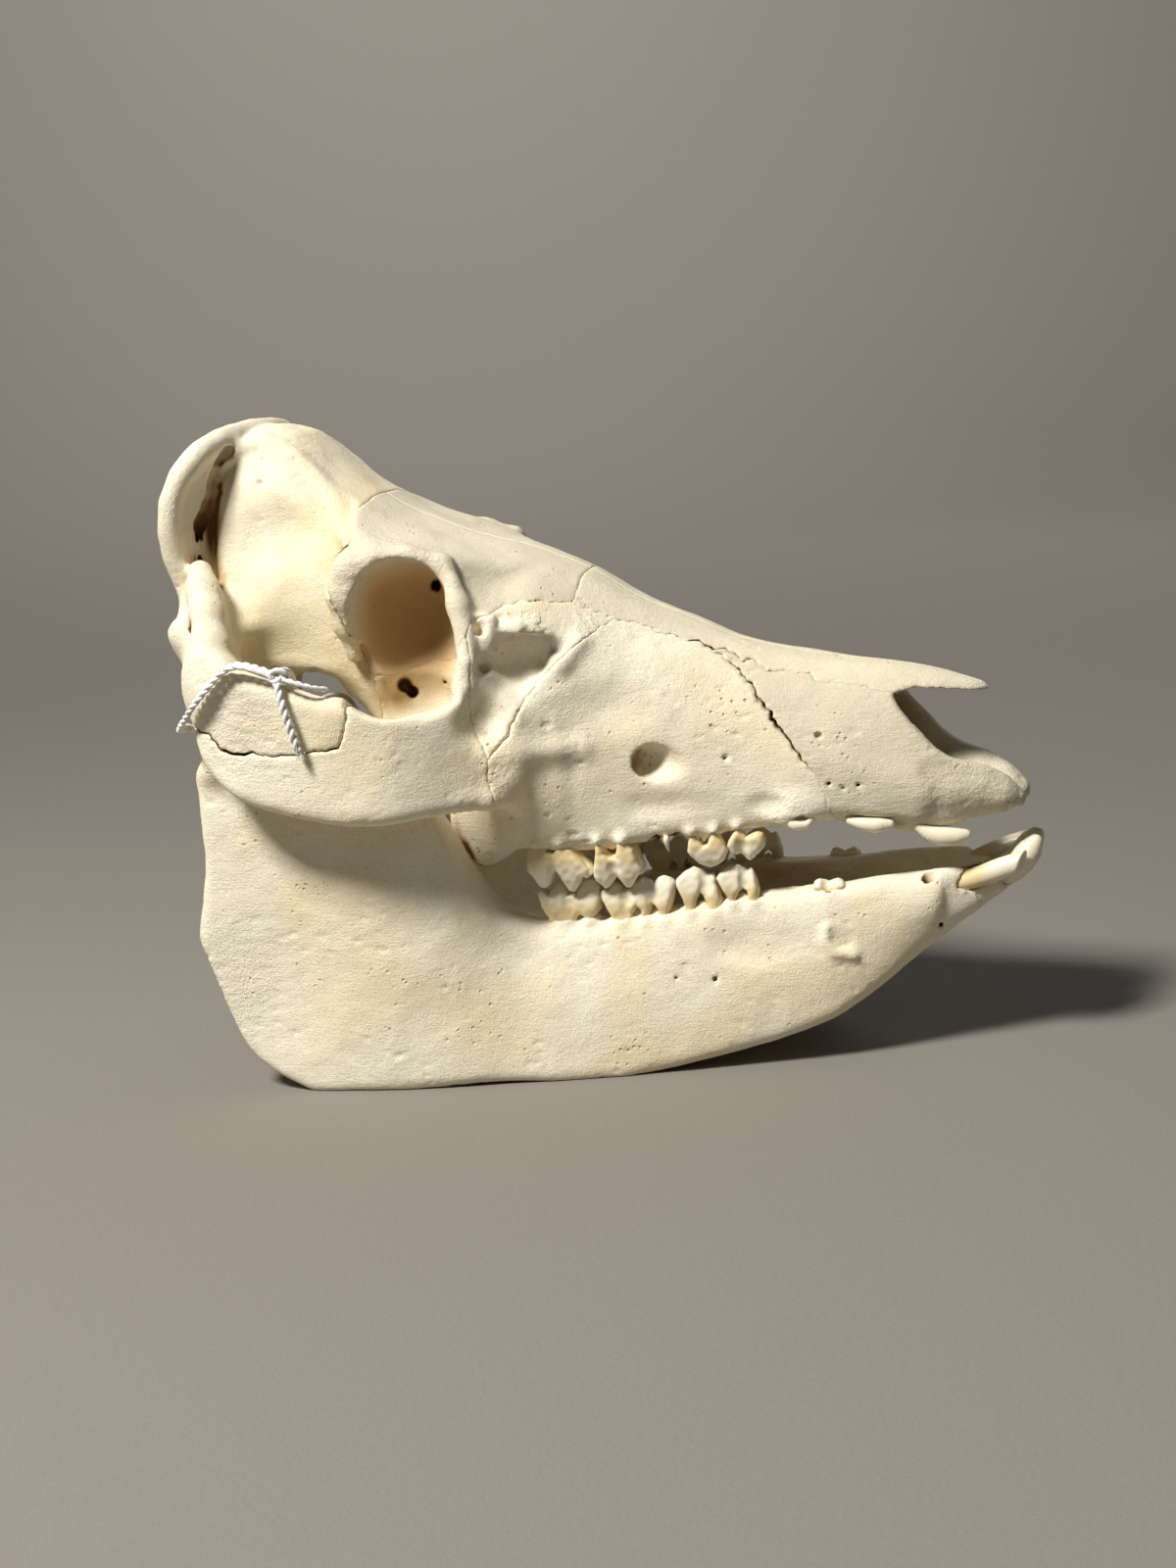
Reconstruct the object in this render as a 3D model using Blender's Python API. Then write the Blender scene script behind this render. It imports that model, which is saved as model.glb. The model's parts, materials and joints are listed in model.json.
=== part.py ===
"""Skull of a young domestic pig with its lower jaw in place and a cotton tie.

Lengths in the shape functions are millimetres: x runs to the snout, s is the
distance from the middle plane, z is the height above the table.
"""

import bpy
import bmesh
import numpy as np
from math import radians
from mathutils import Vector

MM = 0.001

# point of the table that becomes the origin of the model
MIDDLE = (69.6, -1.35, 0.0)
CUT_GAP = 0.3
GRID_STEP = 1.3

# box of the skull with some air around it
BOX_LOW = (-48.0, -72.0, -7.8)
BOX_HIGH = (188.0, 0.0, 179.4)

# budget of faces after thinning out
CRANIUM_FACES = 8700
JAW_FACES = 4000

# midline of the roof of the skull, front to back (x, z)
ROOF_LINE = (
    (-42, 167.5), (-28, 170.4), (-20, 170.8), (-12, 168.9), (-5, 163.6), (0, 158.9),
    (5, 154.5), (10, 150.6), (15, 147.2), (20, 144.5), (26, 141.8), (33, 139.2),
    (40, 137.2), (48, 135.0), (56, 131.8), (64, 128.3), (76, 120.8), (89, 114.3),
    (102, 108.7), (114, 105.1), (127, 102.7), (140, 100.6), (154, 98.0),
    (164, 94.6), (170, 91.5),
)

# sideways fall of the roof: height lost per squared distance
ROOF_CAMBER = (
    (-40, 0.0100), (-20, 0.0120), (-10, 0.0135), (0, 0.0120), (6, 0.0075),
    (11, 0.0045), (20, 0.0030), (28, 0.0020), (35, 0.0026), (41, 0.0048),
    (48, 0.0088), (56, 0.0117), (64, 0.0143), (76, 0.0182), (89, 0.0208),
    (114, 0.0244), (140, 0.0278), (170, 0.0330),
)

# flank of the skull: at each station six (height, half width), low to high
FLANK = (
    (-40, (104, 18), (112, 24), (125, 27), (140, 26), (155, 23), (166, 16)),
    (-28, (104, 24), (112, 31), (125, 32), (140, 29), (155, 25), (167, 18)),
    (-15, (104, 26), (112, 33), (125, 33), (140, 29), (155, 24), (166, 18)),
    (0, (101, 26), (110, 31.5), (122, 31.5), (134, 29.5), (146, 25.5), (155, 19)),
    (7, (95, 26), (106, 30), (118, 30.5), (130, 30), (141, 29), (149, 21)),
    (12.5, (88, 27), (100, 29.5), (112, 31), (121, 36), (134, 37.5), (142, 36)),
    (20, (80, 29), (92, 32), (104, 36), (120, 39.5), (134, 40), (140, 38.5)),
    (30, (66, 30), (84, 32), (97, 38), (118, 40.5), (131, 39.5), (137, 37.5)),
    (38, (55, 30), (78, 33), (96, 39), (114, 40), (126, 37), (133, 31.5)),
    (46, (57, 32), (72, 36.5), (88, 39.5), (106, 38), (121, 33.5), (130, 24)),
    (54, (58, 32.5), (72, 36.5), (86, 37), (104, 35.5), (120, 30), (132, 17)),
    (64, (58, 31.5), (72, 32.5), (86, 32), (100, 30.5), (114, 26), (127, 14.5)),
    (76, (58.5, 29), (70, 29), (82, 28.5), (96, 26.5), (108, 22), (120, 13)),
    (90, (60, 26), (70, 26), (82, 25), (92, 23.5), (103, 19), (113.5, 11.5)),
    (105, (60.5, 23.5), (68, 23.5), (78, 22.5), (88, 21), (98, 16.5), (107, 10.5)),
    (120, (62.5, 22), (69, 22), (77, 21.5), (85, 19.5), (94, 15), (103, 10)),
    (135, (61.5, 19), (67, 20), (74, 20), (82, 18), (90, 14.5), (100, 9.5)),
    (150, (59, 15.5), (64, 17.5), (70, 18), (77, 16), (84, 13.5), (98, 8.5)),
    (162, (61, 12.5), (65, 14.5), (69, 14.5), (73, 13), (78, 11), (95, 6)),
    (174, (64, 5), (66, 7), (68, 7.5), (70, 7), (72, 6), (90, 2)),
)

# underside of the skull on the midline (x, z)
BASE_LINE = (
    (-42, 104), (-10, 104), (0, 101), (8, 95), (14, 87), (20, 79), (26, 69),
    (30, 60), (36, 54), (42, 56), (48, 59), (60, 58), (90, 60), (112, 61.5),
    (122, 63.5), (127, 64), (136, 61), (147, 58.6), (154, 59.6), (162, 61.6),
    (175, 64),
)

# cheek arch plate: station, middle distance, half thickness, top, bottom
ARCH = (
    (-29, 51.5, 3.6, 116.0, 98.0), (-24, 54.0, 4.4, 119.0, 88.0),
    (-18, 56.0, 4.4, 117.0, 82.0), (-12, 57.5, 4.0, 112.8, 79.0),
    (0, 58.4, 3.7, 109.0, 75.4), (8, 58.0, 3.7, 105.9, 73.9),
    (16, 56.4, 4.0, 104.8, 73.0), (24, 53.8, 4.6, 102.0, 72.8),
    (31, 49.8, 5.2, 100.2, 73.1), (38, 44.8, 5.6, 101.8, 73.8),
    (45, 38.6, 6.0, 103.5, 74.7), (52, 33.0, 6.0, 98.0, 73.5),
    (60, 27.5, 5.0, 92.0, 75.0),
)

# rolled rim of the nape crest and the line where its sheet leaves the wall
CREST_RIM = (
    (-25, 0, 169.5), (-26, 12, 169.2), (-27, 22, 168.0), (-29, 30, 165.5),
    (-32.5, 35.5, 160.5), (-35.5, 37, 154), (-36.8, 36.5, 146.5),
    (-36.8, 35, 139.5), (-35.5, 33, 132), (-33, 31, 126),
)
CREST_ROOT = (
    (-22, 0, 166), (-23, 10, 165.5), (-24, 15, 164), (-25, 18, 161),
    (-27, 20, 157), (-28, 22, 152), (-29, 24, 146), (-29, 25, 139),
    (-29, 26, 132), (-29, 27, 127),
)

# hollow of the nose: station, half width, middle height, half height
NOSE_HOLLOW = (
    (84, 1.5, 88, 3), (92, 6.5, 88, 9), (105, 9.5, 87, 12), (120, 11, 84.5, 12.5),
    (135, 11.5, 82.5, 12.5), (150, 10.5, 81.5, 12.3), (162, 8.5, 80.5, 11.5),
    (176, 7.0, 79.0, 12),
)

# open notch between the nasal tip and the incisive bone (x, z)
NOTCH_ROOF = ((136, 93.4), (142, 94.6), (147, 95.4), (155, 94.2), (164, 91.8), (171, 89.6))
NOTCH_FLOOR = (
    (136, 99), (141.8, 94.2), (145.3, 88.8), (150, 84.1), (156, 79.6),
    (160.6, 76.9), (166, 75.6), (171, 72.4), (174.5, 67.5),
)

# lower jaw: station, bottom, top, outer distance low and high, thickness low and high
JAW = (
    (-38, 40.0, 96, 49.0, 47.5, 6.5, 6.0), (-25, 10.0, 96, 49.8, 47.5, 7.5, 6.0),
    (-14, 2.4, 86, 50.4, 47.0, 8.0, 5.5), (-6, 0.0, 87, 50.6, 46.5, 8.5, 5.5),
    (4, 0.0, 93, 50.2, 46.5, 9.0, 6.0), (13, 0.0, 92, 49.6, 46.0, 9.5, 7.0),
    (22, 0.5, 84, 48.2, 45.0, 10.5, 8.0), (30, 0.9, 70.5, 47.0, 42.5, 11.5, 9.5),
    (36, 1.1, 53.8, 45.8, 39.5, 12.5, 11.5), (41, 1.0, 45.6, 44.6, 37.0, 13.5, 13.0),
    (46, 0.8, 42.2, 43.4, 34.6, 14.0, 14.0), (52, 0.4, 40.0, 42.0, 32.8, 14.5, 14.0),
    (60, 0.0, 39.6, 40.0, 31.2, 14.5, 13.5), (72, 0.0, 39.9, 37.2, 28.8, 14.0, 12.5),
    (80, 0.9, 40.8, 35.0, 27.2, 14.0, 12.0), (90, 2.6, 41.9, 32.4, 25.2, 13.5, 11.5),
    (108, 6.3, 43.4, 28.0, 22.0, 13.0, 11.0), (118, 9.2, 42.8, 25.6, 20.6, 13.5, 10.5),
    (126, 12.2, 43.8, 23.4, 19.8, 15.5, 9.5), (134, 16.8, 44.0, 21.2, 19.0, 24.0, 9.0),
    (146, 25.6, 44.2, 17.8, 17.2, 24.0, 9.5), (158, 34.2, 45.4, 14.2, 15.6, 24.0, 12.0),
    (167, 40.0, 46.6, 11.0, 14.0, 24.0, 18.0), (173, 43.6, 46.4, 8.0, 10.5, 24.0, 18.0),
)

# rear edge of the jaw (z, x)
JAW_BACK = (
    (-4, -8), (0, -11.5), (3.3, -18.0), (10.3, -27.6), (19.7, -33.8), (30.4, -36.6),
    (39.8, -36.8), (51.7, -34.8), (65, -33.2), (78, -33.4), (91, -34.8), (99, -35.0),
)

# thin cuts along the seams between the bones
CORONAL_CUT = (
    (8, 185), (8, 154), (12.0, 144), (9.5, 139.5), (4.6, 136), (4.6, 118),
    (12, 106), (13, 92), (12, 45),
)
FOREHEAD_CUT = (
    (12, 106), (38, 109), (43, 120), (52, 124), (64, 120.5), (66, 140),
)
NASAL_CUT = (
    (64, 120.5), (73, 116.5), (95, 108.2), (112, 100.8), (128, 97.0), (140, 94.4),
    (149, 91.0),
)
INCISIVE_CUT = (
    (95, 108.2), (104.4, 101.4), (113.7, 89.2), (123.6, 75.7), (130, 60), (131, 45),
)
SIDE_CUTS = tuple((line, (-46, 46)) for line in
                  (CORONAL_CUT, FOREHEAD_CUT, NASAL_CUT, INCISIVE_CUT))
CHEEK_TEMPLE_CUT = (
    (-42, 100), (-25.4, 98.6), (-15.5, 92.6), (1, 91.7), (12.6, 93.2), (14.8, 100.4),
    (16.5, 125),
)
CHEEK_FRONT_CUT = ((14, 41.4), (26, 41.2), (36, 41.0), (42, 42.2), (47, 46), (52, 56))

# a point inside each bone
BONES = {
    "braincase": (-15, 0, 128), "frontal": (35, 18, 130), "nasal": (105, 6, 107),
    "maxilla": (70, 22, 82), "incisive": (138, 12, 78), "zygomatic": (12, 55, 85),
}
BONE_COLOURS = {
    "braincase": (0.84, 0.76, 0.60), "frontal": (0.78, 0.74, 0.62),
    "nasal": (0.80, 0.77, 0.66), "maxilla": (0.80, 0.76, 0.60),
    "incisive": (0.78, 0.75, 0.62), "zygomatic": (0.78, 0.72, 0.58),
    "mandible": (0.82, 0.76, 0.61),
}

# cotton tie: points (x, y, z) along the loop from the knot, and its two ends
STRING_STEP = 0.5
STRING_RADIUS = 1.15
STRING_AIR = 0.75
STRING_FACES = 1150
STRING_LOOP = (
    (-1.5, -61, 111.5), (-7, -61.5, 114), (-12.5, -61, 115.5), (-18, -61, 110),
    (-24, -60, 105), (-30, -58, 100.5), (-36, -53, 96), (-38, -46, 91),
    (-33, -38, 85), (-20, -37, 84), (-8, -40, 88), (-2, -45, 97), (-1, -51, 106),
    (-1.5, -57, 112), (-1.5, -61, 111.5),
)
STRING_TAIL = ((-1.5, -61, 111.5), (0, -64, 107), (2, -64.5, 100), (3.6, -64, 93.5))
STRING_END = ((-1.5, -61, 111.5), (3, -62, 110.5), (7.5, -61, 108.5), (10, -57, 107.5))

# teeth: first x, last x, outer distance at both, width, neck, tip, lobes
LOWER_TEETH = (
    ("molar_1", 50.8, 65.6, 29.6, 28.6, 9.0, 41.0, 50.3, 2),
    ("milk_premolar_4", 67.0, 85.6, 28.4, 25.6, 7.6, 41.5, 50.4, 3),
    ("milk_premolar_3", 86.4, 97.0, 25.2, 23.6, 5.0, 43.0, 52.4, 1),
    ("milk_premolar_2", 97.4, 108.0, 23.4, 21.6, 4.6, 44.5, 51.8, 1),
    ("premolar_1", 121.5, 129.0, 20.0, 19.2, 4.2, 43.0, 48.2, 2),
)
UPPER_TEETH = (
    ("molar_1", 49.0, 65.4, 31.4, 30.4, 9.5, 59.5, 51.6, 2),
    ("milk_premolar_4", 66.2, 79.6, 30.2, 28.0, 8.6, 59.0, 51.8, 2),
    ("milk_premolar_2", 90.4, 100.6, 25.4, 24.0, 4.4, 61.0, 53.2, 1),
    ("premolar_1", 100.9, 110.6, 23.8, 22.4, 4.4, 61.5, 54.2, 1),
)

# single rooted teeth: root and tip (x, s, z, radius)
LOWER_PEGS = (
    ("incisor_1", (152, 4.0, 42.0, 2.6), (178.0, 3.4, 52.4, 1.7)),
    ("incisor_2", (150, 9.5, 42.0, 2.6), (174.6, 10.6, 51.6, 1.7)),
)
UPPER_PEGS = (
    ("incisor_2", (151.0, 13.4, 60.5, 2.4), (161.0, 12.0, 57.4, 1.9)),
    ("incisor_3", (134.5, 16.6, 62.8, 1.9), (142.0, 15.8, 61.0, 1.8)),
    ("canine", (119.5, 20.5, 66.0, 1.6), (117.5, 21.6, 62.6, 1.0)),
)


def curve(knots, at, column=1):
    """Smooth line through the knots, flat beyond both ends."""
    table = np.array([[k[0], k[column]] for k in knots], dtype=float)
    xs, ys = table[:, 0], table[:, 1]
    step = np.diff(xs)
    slope = np.diff(ys) / step
    tangent = np.zeros_like(xs)
    same = slope[:-1] * slope[1:] > 0
    mean = 2 * slope[:-1] * slope[1:] / np.where(same, slope[:-1] + slope[1:], 1)
    tangent[1:-1] = np.where(same, mean, 0.0)
    v = np.clip(at, xs[0], xs[-1])
    i = np.clip(np.searchsorted(xs, v) - 1, 0, len(xs) - 2)
    t = (v - xs[i]) / step[i]
    a = (2 * t ** 3 - 3 * t ** 2 + 1) * ys[i] + (3 * t ** 2 - 2 * t ** 3) * ys[i + 1]
    b = (t ** 3 - 2 * t ** 2 + t) * tangent[i] + (t ** 3 - t ** 2) * tangent[i + 1]
    return a + b * step[i]


def smin(a, b, k):
    """Blend two shapes over a width k, keeping both."""
    h = np.clip(0.5 + 0.5 * (b - a) / k, 0, 1)
    return b + (a - b) * h - k * h * (1 - h)


def smax(a, b, k):
    """Keep what two shapes have in common, the edge rounded over a width k."""
    return -smin(-a, -b, k)


def ellipsoid(p, centre, radii):
    """Signed distance, close to the surface, of an ellipsoid."""
    q = [(a - c) / r for a, c, r in zip(p, centre, radii)]
    k0 = np.sqrt(q[0] ** 2 + q[1] ** 2 + q[2] ** 2) + 1e-9
    k1 = np.sqrt((q[0] / radii[0]) ** 2 + (q[1] / radii[1]) ** 2 + (q[2] / radii[2]) ** 2)
    return k0 * (k0 - 1) / (k1 + 1e-9)


def rod(p, a, b, ra, rb):
    """Signed distance of a rod with round ends whose radius runs from ra to rb."""
    d = [v - u for u, v in zip(a, b)]
    n = sum(v * v for v in d)
    t = np.clip(sum((c - u) * v for c, u, v in zip(p, a, d)) / n, 0, 1)
    r2 = sum((c - u - t * v) ** 2 for c, u, v in zip(p, a, d))
    return np.sqrt(r2) - (ra + (rb - ra) * t)


class Shape:
    """A solid held as signed distances on a regular grid."""

    def __init__(self, low, high, step):
        self.step = step
        count = [int(round((b - a) / step)) + 1 for a, b in zip(low, high)]
        self.low = (low[0], high[1] - step * (count[1] - 1), low[2])
        axes = [a + step * np.arange(n) for a, n in zip(self.low, count)]
        self.axes = axes
        self.x = axes[0][:, None, None]
        self.s = np.abs(axes[1])[None, :, None]
        self.z = axes[2][None, None, :]
        self.f = np.full(count, 40.0)

    def window(self, points, reach):
        """Part of the grid within reach of some points given as (x, s, z)."""
        cut = []
        for n in range(3):
            v = [p[n] for p in points]
            lo, hi = min(v) - reach, max(v) + reach
            axis = self.axes[n] if n != 1 else -self.axes[1]
            hit = np.nonzero((axis >= lo) & (axis <= hi))[0]
            if len(hit) == 0:
                return None, None
            cut.append(slice(hit[0], hit[-1] + 1))
        p = (self.x[cut[0]], self.s[:, cut[1]], self.z[:, :, cut[2]])
        return tuple(cut), p

    def add(self, d, k, cut=slice(None)):
        self.f[cut] = smin(self.f[cut], d, k)

    def carve(self, d, k, cut=slice(None)):
        self.f[cut] = smax(self.f[cut], -d, k)

    def add_ellipsoid(self, centre, radii, k):
        cut, p = self.window([centre], max(radii) + k + 5)
        if cut:
            self.add(ellipsoid(p, centre, radii), k, cut)

    def carve_ellipsoid(self, centre, radii, k):
        cut, p = self.window([centre], max(radii) + k + 3)
        if cut:
            self.carve(ellipsoid(p, centre, radii), k, cut)

    def add_rods(self, points, k):
        """Chain of rods through points (x, s, z, radius)."""
        for a, b in zip(points[:-1], points[1:]):
            cut, p = self.window([a, b], max(a[3], b[3]) + k + 5)
            if cut:
                self.add(rod(p, a[:3], b[:3], a[3], b[3]), k, cut)

    def carve_rods(self, points, k):
        for a, b in zip(points[:-1], points[1:]):
            cut, p = self.window([a, b], max(a[3], b[3]) + k + 3)
            if cut:
                self.carve(rod(p, a[:3], b[:3], a[3], b[3]), k, cut)


def flank_width(x, z):
    """Half width of the skull over a sheet of x and z values."""
    levels = []
    for n in range(6):
        zs = curve([(row[0], row[n + 1][0]) for row in FLANK], x)
        ws = curve([(row[0], row[n + 1][1]) for row in FLANK], x)
        levels.append((zs, ws))
    out = np.empty((len(x), len(z)))
    for i in range(len(x)):
        knots = [(lev[0][i], lev[1][i]) for lev in levels]
        out[i] = curve(knots, z)
    return out


def skull_body(shape):
    """Braincase, forehead and snout as one lofted body."""
    x, s, z = shape.x, shape.s, shape.z
    width = flank_width(shape.axes[0], shape.axes[2])
    side = (s - width[:, None, :]) * 0.92
    top = curve(ROOF_LINE, x) - curve(ROOF_CAMBER, x) * s ** 2
    roof = (z - top) * 0.88
    base = curve(BASE_LINE, x) - z
    body = smax(side, roof, 5.0)
    body = smax(body, base * 0.8, 5.0)
    back = -34.0 + 0.006 * s ** 2 - x
    front = x - (175.0 - 0.09 * np.minimum(s, 16) ** 2)
    body = smax(body, back, 5.0)
    body = smax(body, front, 4.0)
    shape.add(body, 0.5)


def plate(shape, table, k):
    """Upright plate given by station, middle, half thickness, top, bottom."""
    x, s, z = shape.x, shape.s, shape.z
    middle, half, top, low = [curve(table, x, n) for n in (1, 2, 3, 4)]
    lean = 0.06 * (z - 0.5 * (top + low))
    flat = np.abs(s - middle + lean) - half
    edge = smax((z - top), (low - z), 3.0)
    d = smax(flat, edge, 4.5)
    ends = smax(table[0][0] - x, x - table[-1][0], 2.0)
    shape.add(smax(d, ends, 4.0), k)


def cheek_arch(shape):
    """Arch of the cheek with its root on the braincase and the ear ridge."""
    plate(shape, ARCH, 5.0)
    shape.add_rods(((-24, 28, 118, 9), (-24.5, 41, 109.6, 8.6), (-22, 51, 108, 7.2)), 6.0)
    shape.add_rods(((-22.5, 52, 112, 4.8), (-22, 48.5, 120, 4.6), (-25, 42, 127, 4.6),
                    (-30, 36, 131, 4.0)), 7.0)
    shape.add_rods(((-30, 34, 122, 5.5), (-33, 40, 119.5, 3.2), (-34, 43.5, 121, 2.2)), 6.0)


def nape_crest(shape):
    """Sheet and rolled rim of the crest at the back of the head."""
    count = 34
    t = np.linspace(0, len(CREST_RIM) - 1, count)
    at = np.arange(len(CREST_RIM))
    rim = [np.interp(t, at, [p[n] for p in CREST_RIM]) for n in range(3)]
    root = [np.interp(t, at, [p[n] for p in CREST_ROOT]) for n in range(3)]
    for i in range(count):
        a = (root[0][i], root[1][i], root[2][i], 3.0)
        b = (rim[0][i], rim[1][i], rim[2][i], 2.0)
        shape.add_rods((a, b), 2.5)
    for i in range(count - 1):
        a = (rim[0][i], rim[1][i], rim[2][i], 2.6)
        b = (rim[0][i + 1], rim[1][i + 1], rim[2][i + 1], 2.6)
        shape.add_rods((a, b), 2.0)


def back_of_head(shape):
    """Condyles, great opening, jugular processes and the nape hollows."""
    shape.carve_ellipsoid((-43, 13, 150), (12, 12, 17), 4.0)
    shape.add_ellipsoid((-33, 11.5, 107), (7.5, 6.5, 9.5), 3.0)
    shape.carve_ellipsoid((-36, 0, 114), (15, 8.5, 8.5), 2.5)
    shape.add_rods(((-29, 23, 108, 6.0), (-26, 25, 88, 3.6), (-24, 24, 66, 2.2)), 4.0)
    shape.add_rods(((-27, 20, 94, 4.0), (-18, 19, 87, 4.6), (-8, 17, 83, 3.0)), 3.0)


def eye_sockets(shape):
    """Brow ridge, the socket itself and the openings in it."""
    shape.add_rods(((10.5, 34.5, 119, 2.8), (9.5, 35, 128, 4.0), (11.0, 34.5, 137, 4.4)), 4.0)
    shape.carve_ellipsoid((25.6, 47, 119.4), (14.4, 28, 18.6), 1.5)
    shape.carve_ellipsoid((33.0, 45, 110), (8.8, 21, 10.0), 3.0)
    shape.carve_rods(((18, 39, 112, 6.0), (14, 40, 100, 8), (10, 41, 86, 8)), 3.0)
    shape.carve_ellipsoid((28, 19, 104), (3.5, 7, 3.2), 1.0)
    shape.carve_ellipsoid((34, 22, 131), (2.2, 6, 2.2), 0.8)


def cheek_hollow(shape):
    """Space between the arch and the braincase, for the jaw muscle."""
    shape.carve_rods(((-8, 44, 128, 8.5), (-4, 44.5, 100, 9), (4, 43, 84, 9)), 3.0)
    shape.carve_rods(((8, 43, 100, 8.5), (12, 42, 84, 8.5), (24, 40, 80, 6.5),
                      (33, 38.5, 79, 4)), 3.0)


def face_details(shape):
    """Hollow before the eye, infraorbital opening, small bumps."""
    shape.carve_ellipsoid((57, 46.5, 107), (10, 14.5, 8.5), 4.0)
    shape.carve_ellipsoid((68, 40, 99), (12, 12, 9), 6.0)
    shape.add_ellipsoid((47, 38.5, 80), (6, 5.5, 5), 4.0)
    shape.carve_rods(((90.5, 29, 80.2, 5.0), (81, 23, 82, 4.0)), 1.2)
    shape.add_ellipsoid((118, 20.0, 66.5), (6, 4, 4), 4.0)


def nose_hollow(shape):
    """Cavity of the nose, its side notch and the split between the front bones."""
    x, s, z = shape.x, shape.s, shape.z
    half, mid, tall = [curve(NOSE_HOLLOW, x, n) for n in (1, 2, 3)]
    r = ((s / half) ** 3 + (np.abs(z - mid) / tall) ** 3) ** (1 / 3)
    hollow = (r - 1) * half
    hollow = smax(hollow, 84 - x, 2.0)
    shape.carve(hollow, 2.0)
    roof = curve(NOTCH_ROOF, x) - 0.02 * s ** 2
    floor = curve(NOTCH_FLOOR, x)
    notch = smax(z - roof, floor - z, 0.6)
    notch = smax(notch, 139.0 - x, 1.0)
    shape.carve(notch * 0.8, 1.2)
    shape.carve(smax(smax(s - 1.3, 158 - x, 1.0), z - 90, 1.0), 1.0)


def palate(shape):
    """Vault between the tooth rows and the hind opening of the nose."""
    x, s, z = shape.x, shape.s, shape.z
    half = curve(((40, 16.5), (60, 17.5), (90, 14.5), (115, 12.5), (135, 12.0),
                  (150, 9.0), (165, 6.0), (172, 1.5)), x)
    r = ((s / half) ** 3 + (np.abs(z - 56) / 10.5) ** 3) ** (1 / 3)
    vault = (r - 1) * 7
    vault = smax(vault, x - 168, 2.0)
    shape.carve(vault, 3.0)
    shape.carve_rods(((-6, 0, 82, 10.5), (20, 0, 80, 9.5), (38, 0, 76, 7)), 4.0)
    shape.carve_rods(((-4, 0, 66, 13), (22, 0, 64, 14), (36, 0, 62, 13)), 4.0)
    shape.carve_ellipsoid((14, 29, 70), (15, 11, 17), 3.0)
    shape.add_rods(((16, 13, 88, 4.0), (19, 13, 70, 2.6), (17, 14, 62, 2.2)), 3.0)


def cusps(tooth):
    """Rods that make up the crown and the necks of a cheek tooth."""
    name, x0, x1, s0, s1, width, neck, tip, lobes = tooth
    down = 1.0 if tip > neck else -1.0
    length = (x1 - x0) / lobes
    rods = []
    for n in range(lobes):
        mid = x0 + (n + 0.5) * length
        out = s0 + (s1 - s0) * (mid - x0) / (x1 - x0)
        r = 0.5 * min(length, 7.4)
        sides = (out - 0.30 * width, out - 0.70 * width)
        for k, s in enumerate(sides):
            top = tip - down * (0.0 if k == 0 else 0.8)
            root = (mid, s, neck - down * 5.0, 0.36 * width)
            belly = (mid, s, neck + 0.42 * (top - neck), 0.36 * width + 0.12 * length)
            point = (mid, s, top - down * 1.1, 1.1)
            rods.append((root, belly, point))
        if lobes == 1:
            for side in (-1, 1):
                shoulder = (mid + side * 0.27 * length, out - 0.5 * width,
                            neck + 0.5 * (tip - neck), 0.38 * width)
                foot = (mid + side * 0.27 * length, out - 0.5 * width,
                        neck - down * 4.0, 0.26 * width)
                rods.append((foot, shoulder, (mid, out - 0.5 * width, tip - down * 1.3, 1.2)))
    return rods


def add_teeth(shape, cheek, pegs):
    for tooth in cheek:
        for chain in cusps(tooth):
            shape.add_rods(chain, 0.8)
    for name, root, tip in pegs:
        shape.add_rods((root, tip), 0.6)


def cranium_shape(step):
    """The whole upper skull without its teeth."""
    shape = Shape(BOX_LOW, BOX_HIGH, step)
    skull_body(shape)
    nape_crest(shape)
    cheek_arch(shape)
    cheek_hollow(shape)
    back_of_head(shape)
    eye_sockets(shape)
    face_details(shape)
    nose_hollow(shape)
    palate(shape)
    add_teeth(shape, UPPER_TEETH, UPPER_PEGS)
    return shape


def jaw_shape(step):
    """The whole lower jaw without its teeth."""
    shape = Shape(BOX_LOW, BOX_HIGH, step)
    x, s, z = shape.x, shape.s, shape.z
    low, top, out_low, out_top, thick_low, thick_top = [curve(JAW, x, n) for n in range(1, 7)]
    t = np.clip((z - low) / np.maximum(top - low, 1), 0, 1)
    bulge = 1.6 * np.sin(np.pi * t) * np.clip((x - 30) / 25, 0, 1)
    outer = out_low + (out_top - out_low) * t + bulge
    inner = outer - (thick_low + (thick_top - thick_low) * t) - 0.6 * bulge
    side = smax(s - outer, inner - s, 1.0)
    edge = smax((z - top) * 0.85, (low - 0.8 - z) * 0.9, 2.0)
    edge = smax(edge, curve(JAW_BACK, z) - x, 3.0)
    edge = smax(edge, x - (174.5 - 0.10 * np.minimum(s, 14) ** 2), 3.0)
    body = smax(side, edge, 4.0)
    shape.add(body, 0.5)
    shape.add_ellipsoid((-27.5, 41.5, 93.6), (5.4, 7.8, 5.2), 4.0)
    shape.carve_ellipsoid((-13, 46, 96), (7.5, 12, 13), 3.0)
    shape.carve_ellipsoid((2, 39.5, 52), (24, 4.0, 26), 5.0)
    trough = rod((x, s, z), (126, 0, 50), (176, 0, 55), 11.0, 9.5)
    shape.carve(trough, 3.0)
    add_teeth(shape, LOWER_TEETH, LOWER_PEGS)
    shape.f = np.maximum(shape.f, -z * 1.0)
    return shape


def mirrored(shape):
    """Values of both halves, the middle plane held once."""
    return np.concatenate([shape.f, shape.f[:, -2::-1, :]], axis=1)


def joined(corners):
    """Whether the chosen corners of a cube hang together along its edges."""
    left = set(corners)
    if not left:
        return True
    stack = [left.pop()]
    while stack:
        c = stack.pop()
        for bit in (1, 2, 4):
            if c ^ bit in left:
                left.remove(c ^ bit)
                stack.append(c ^ bit)
    return not left


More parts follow.
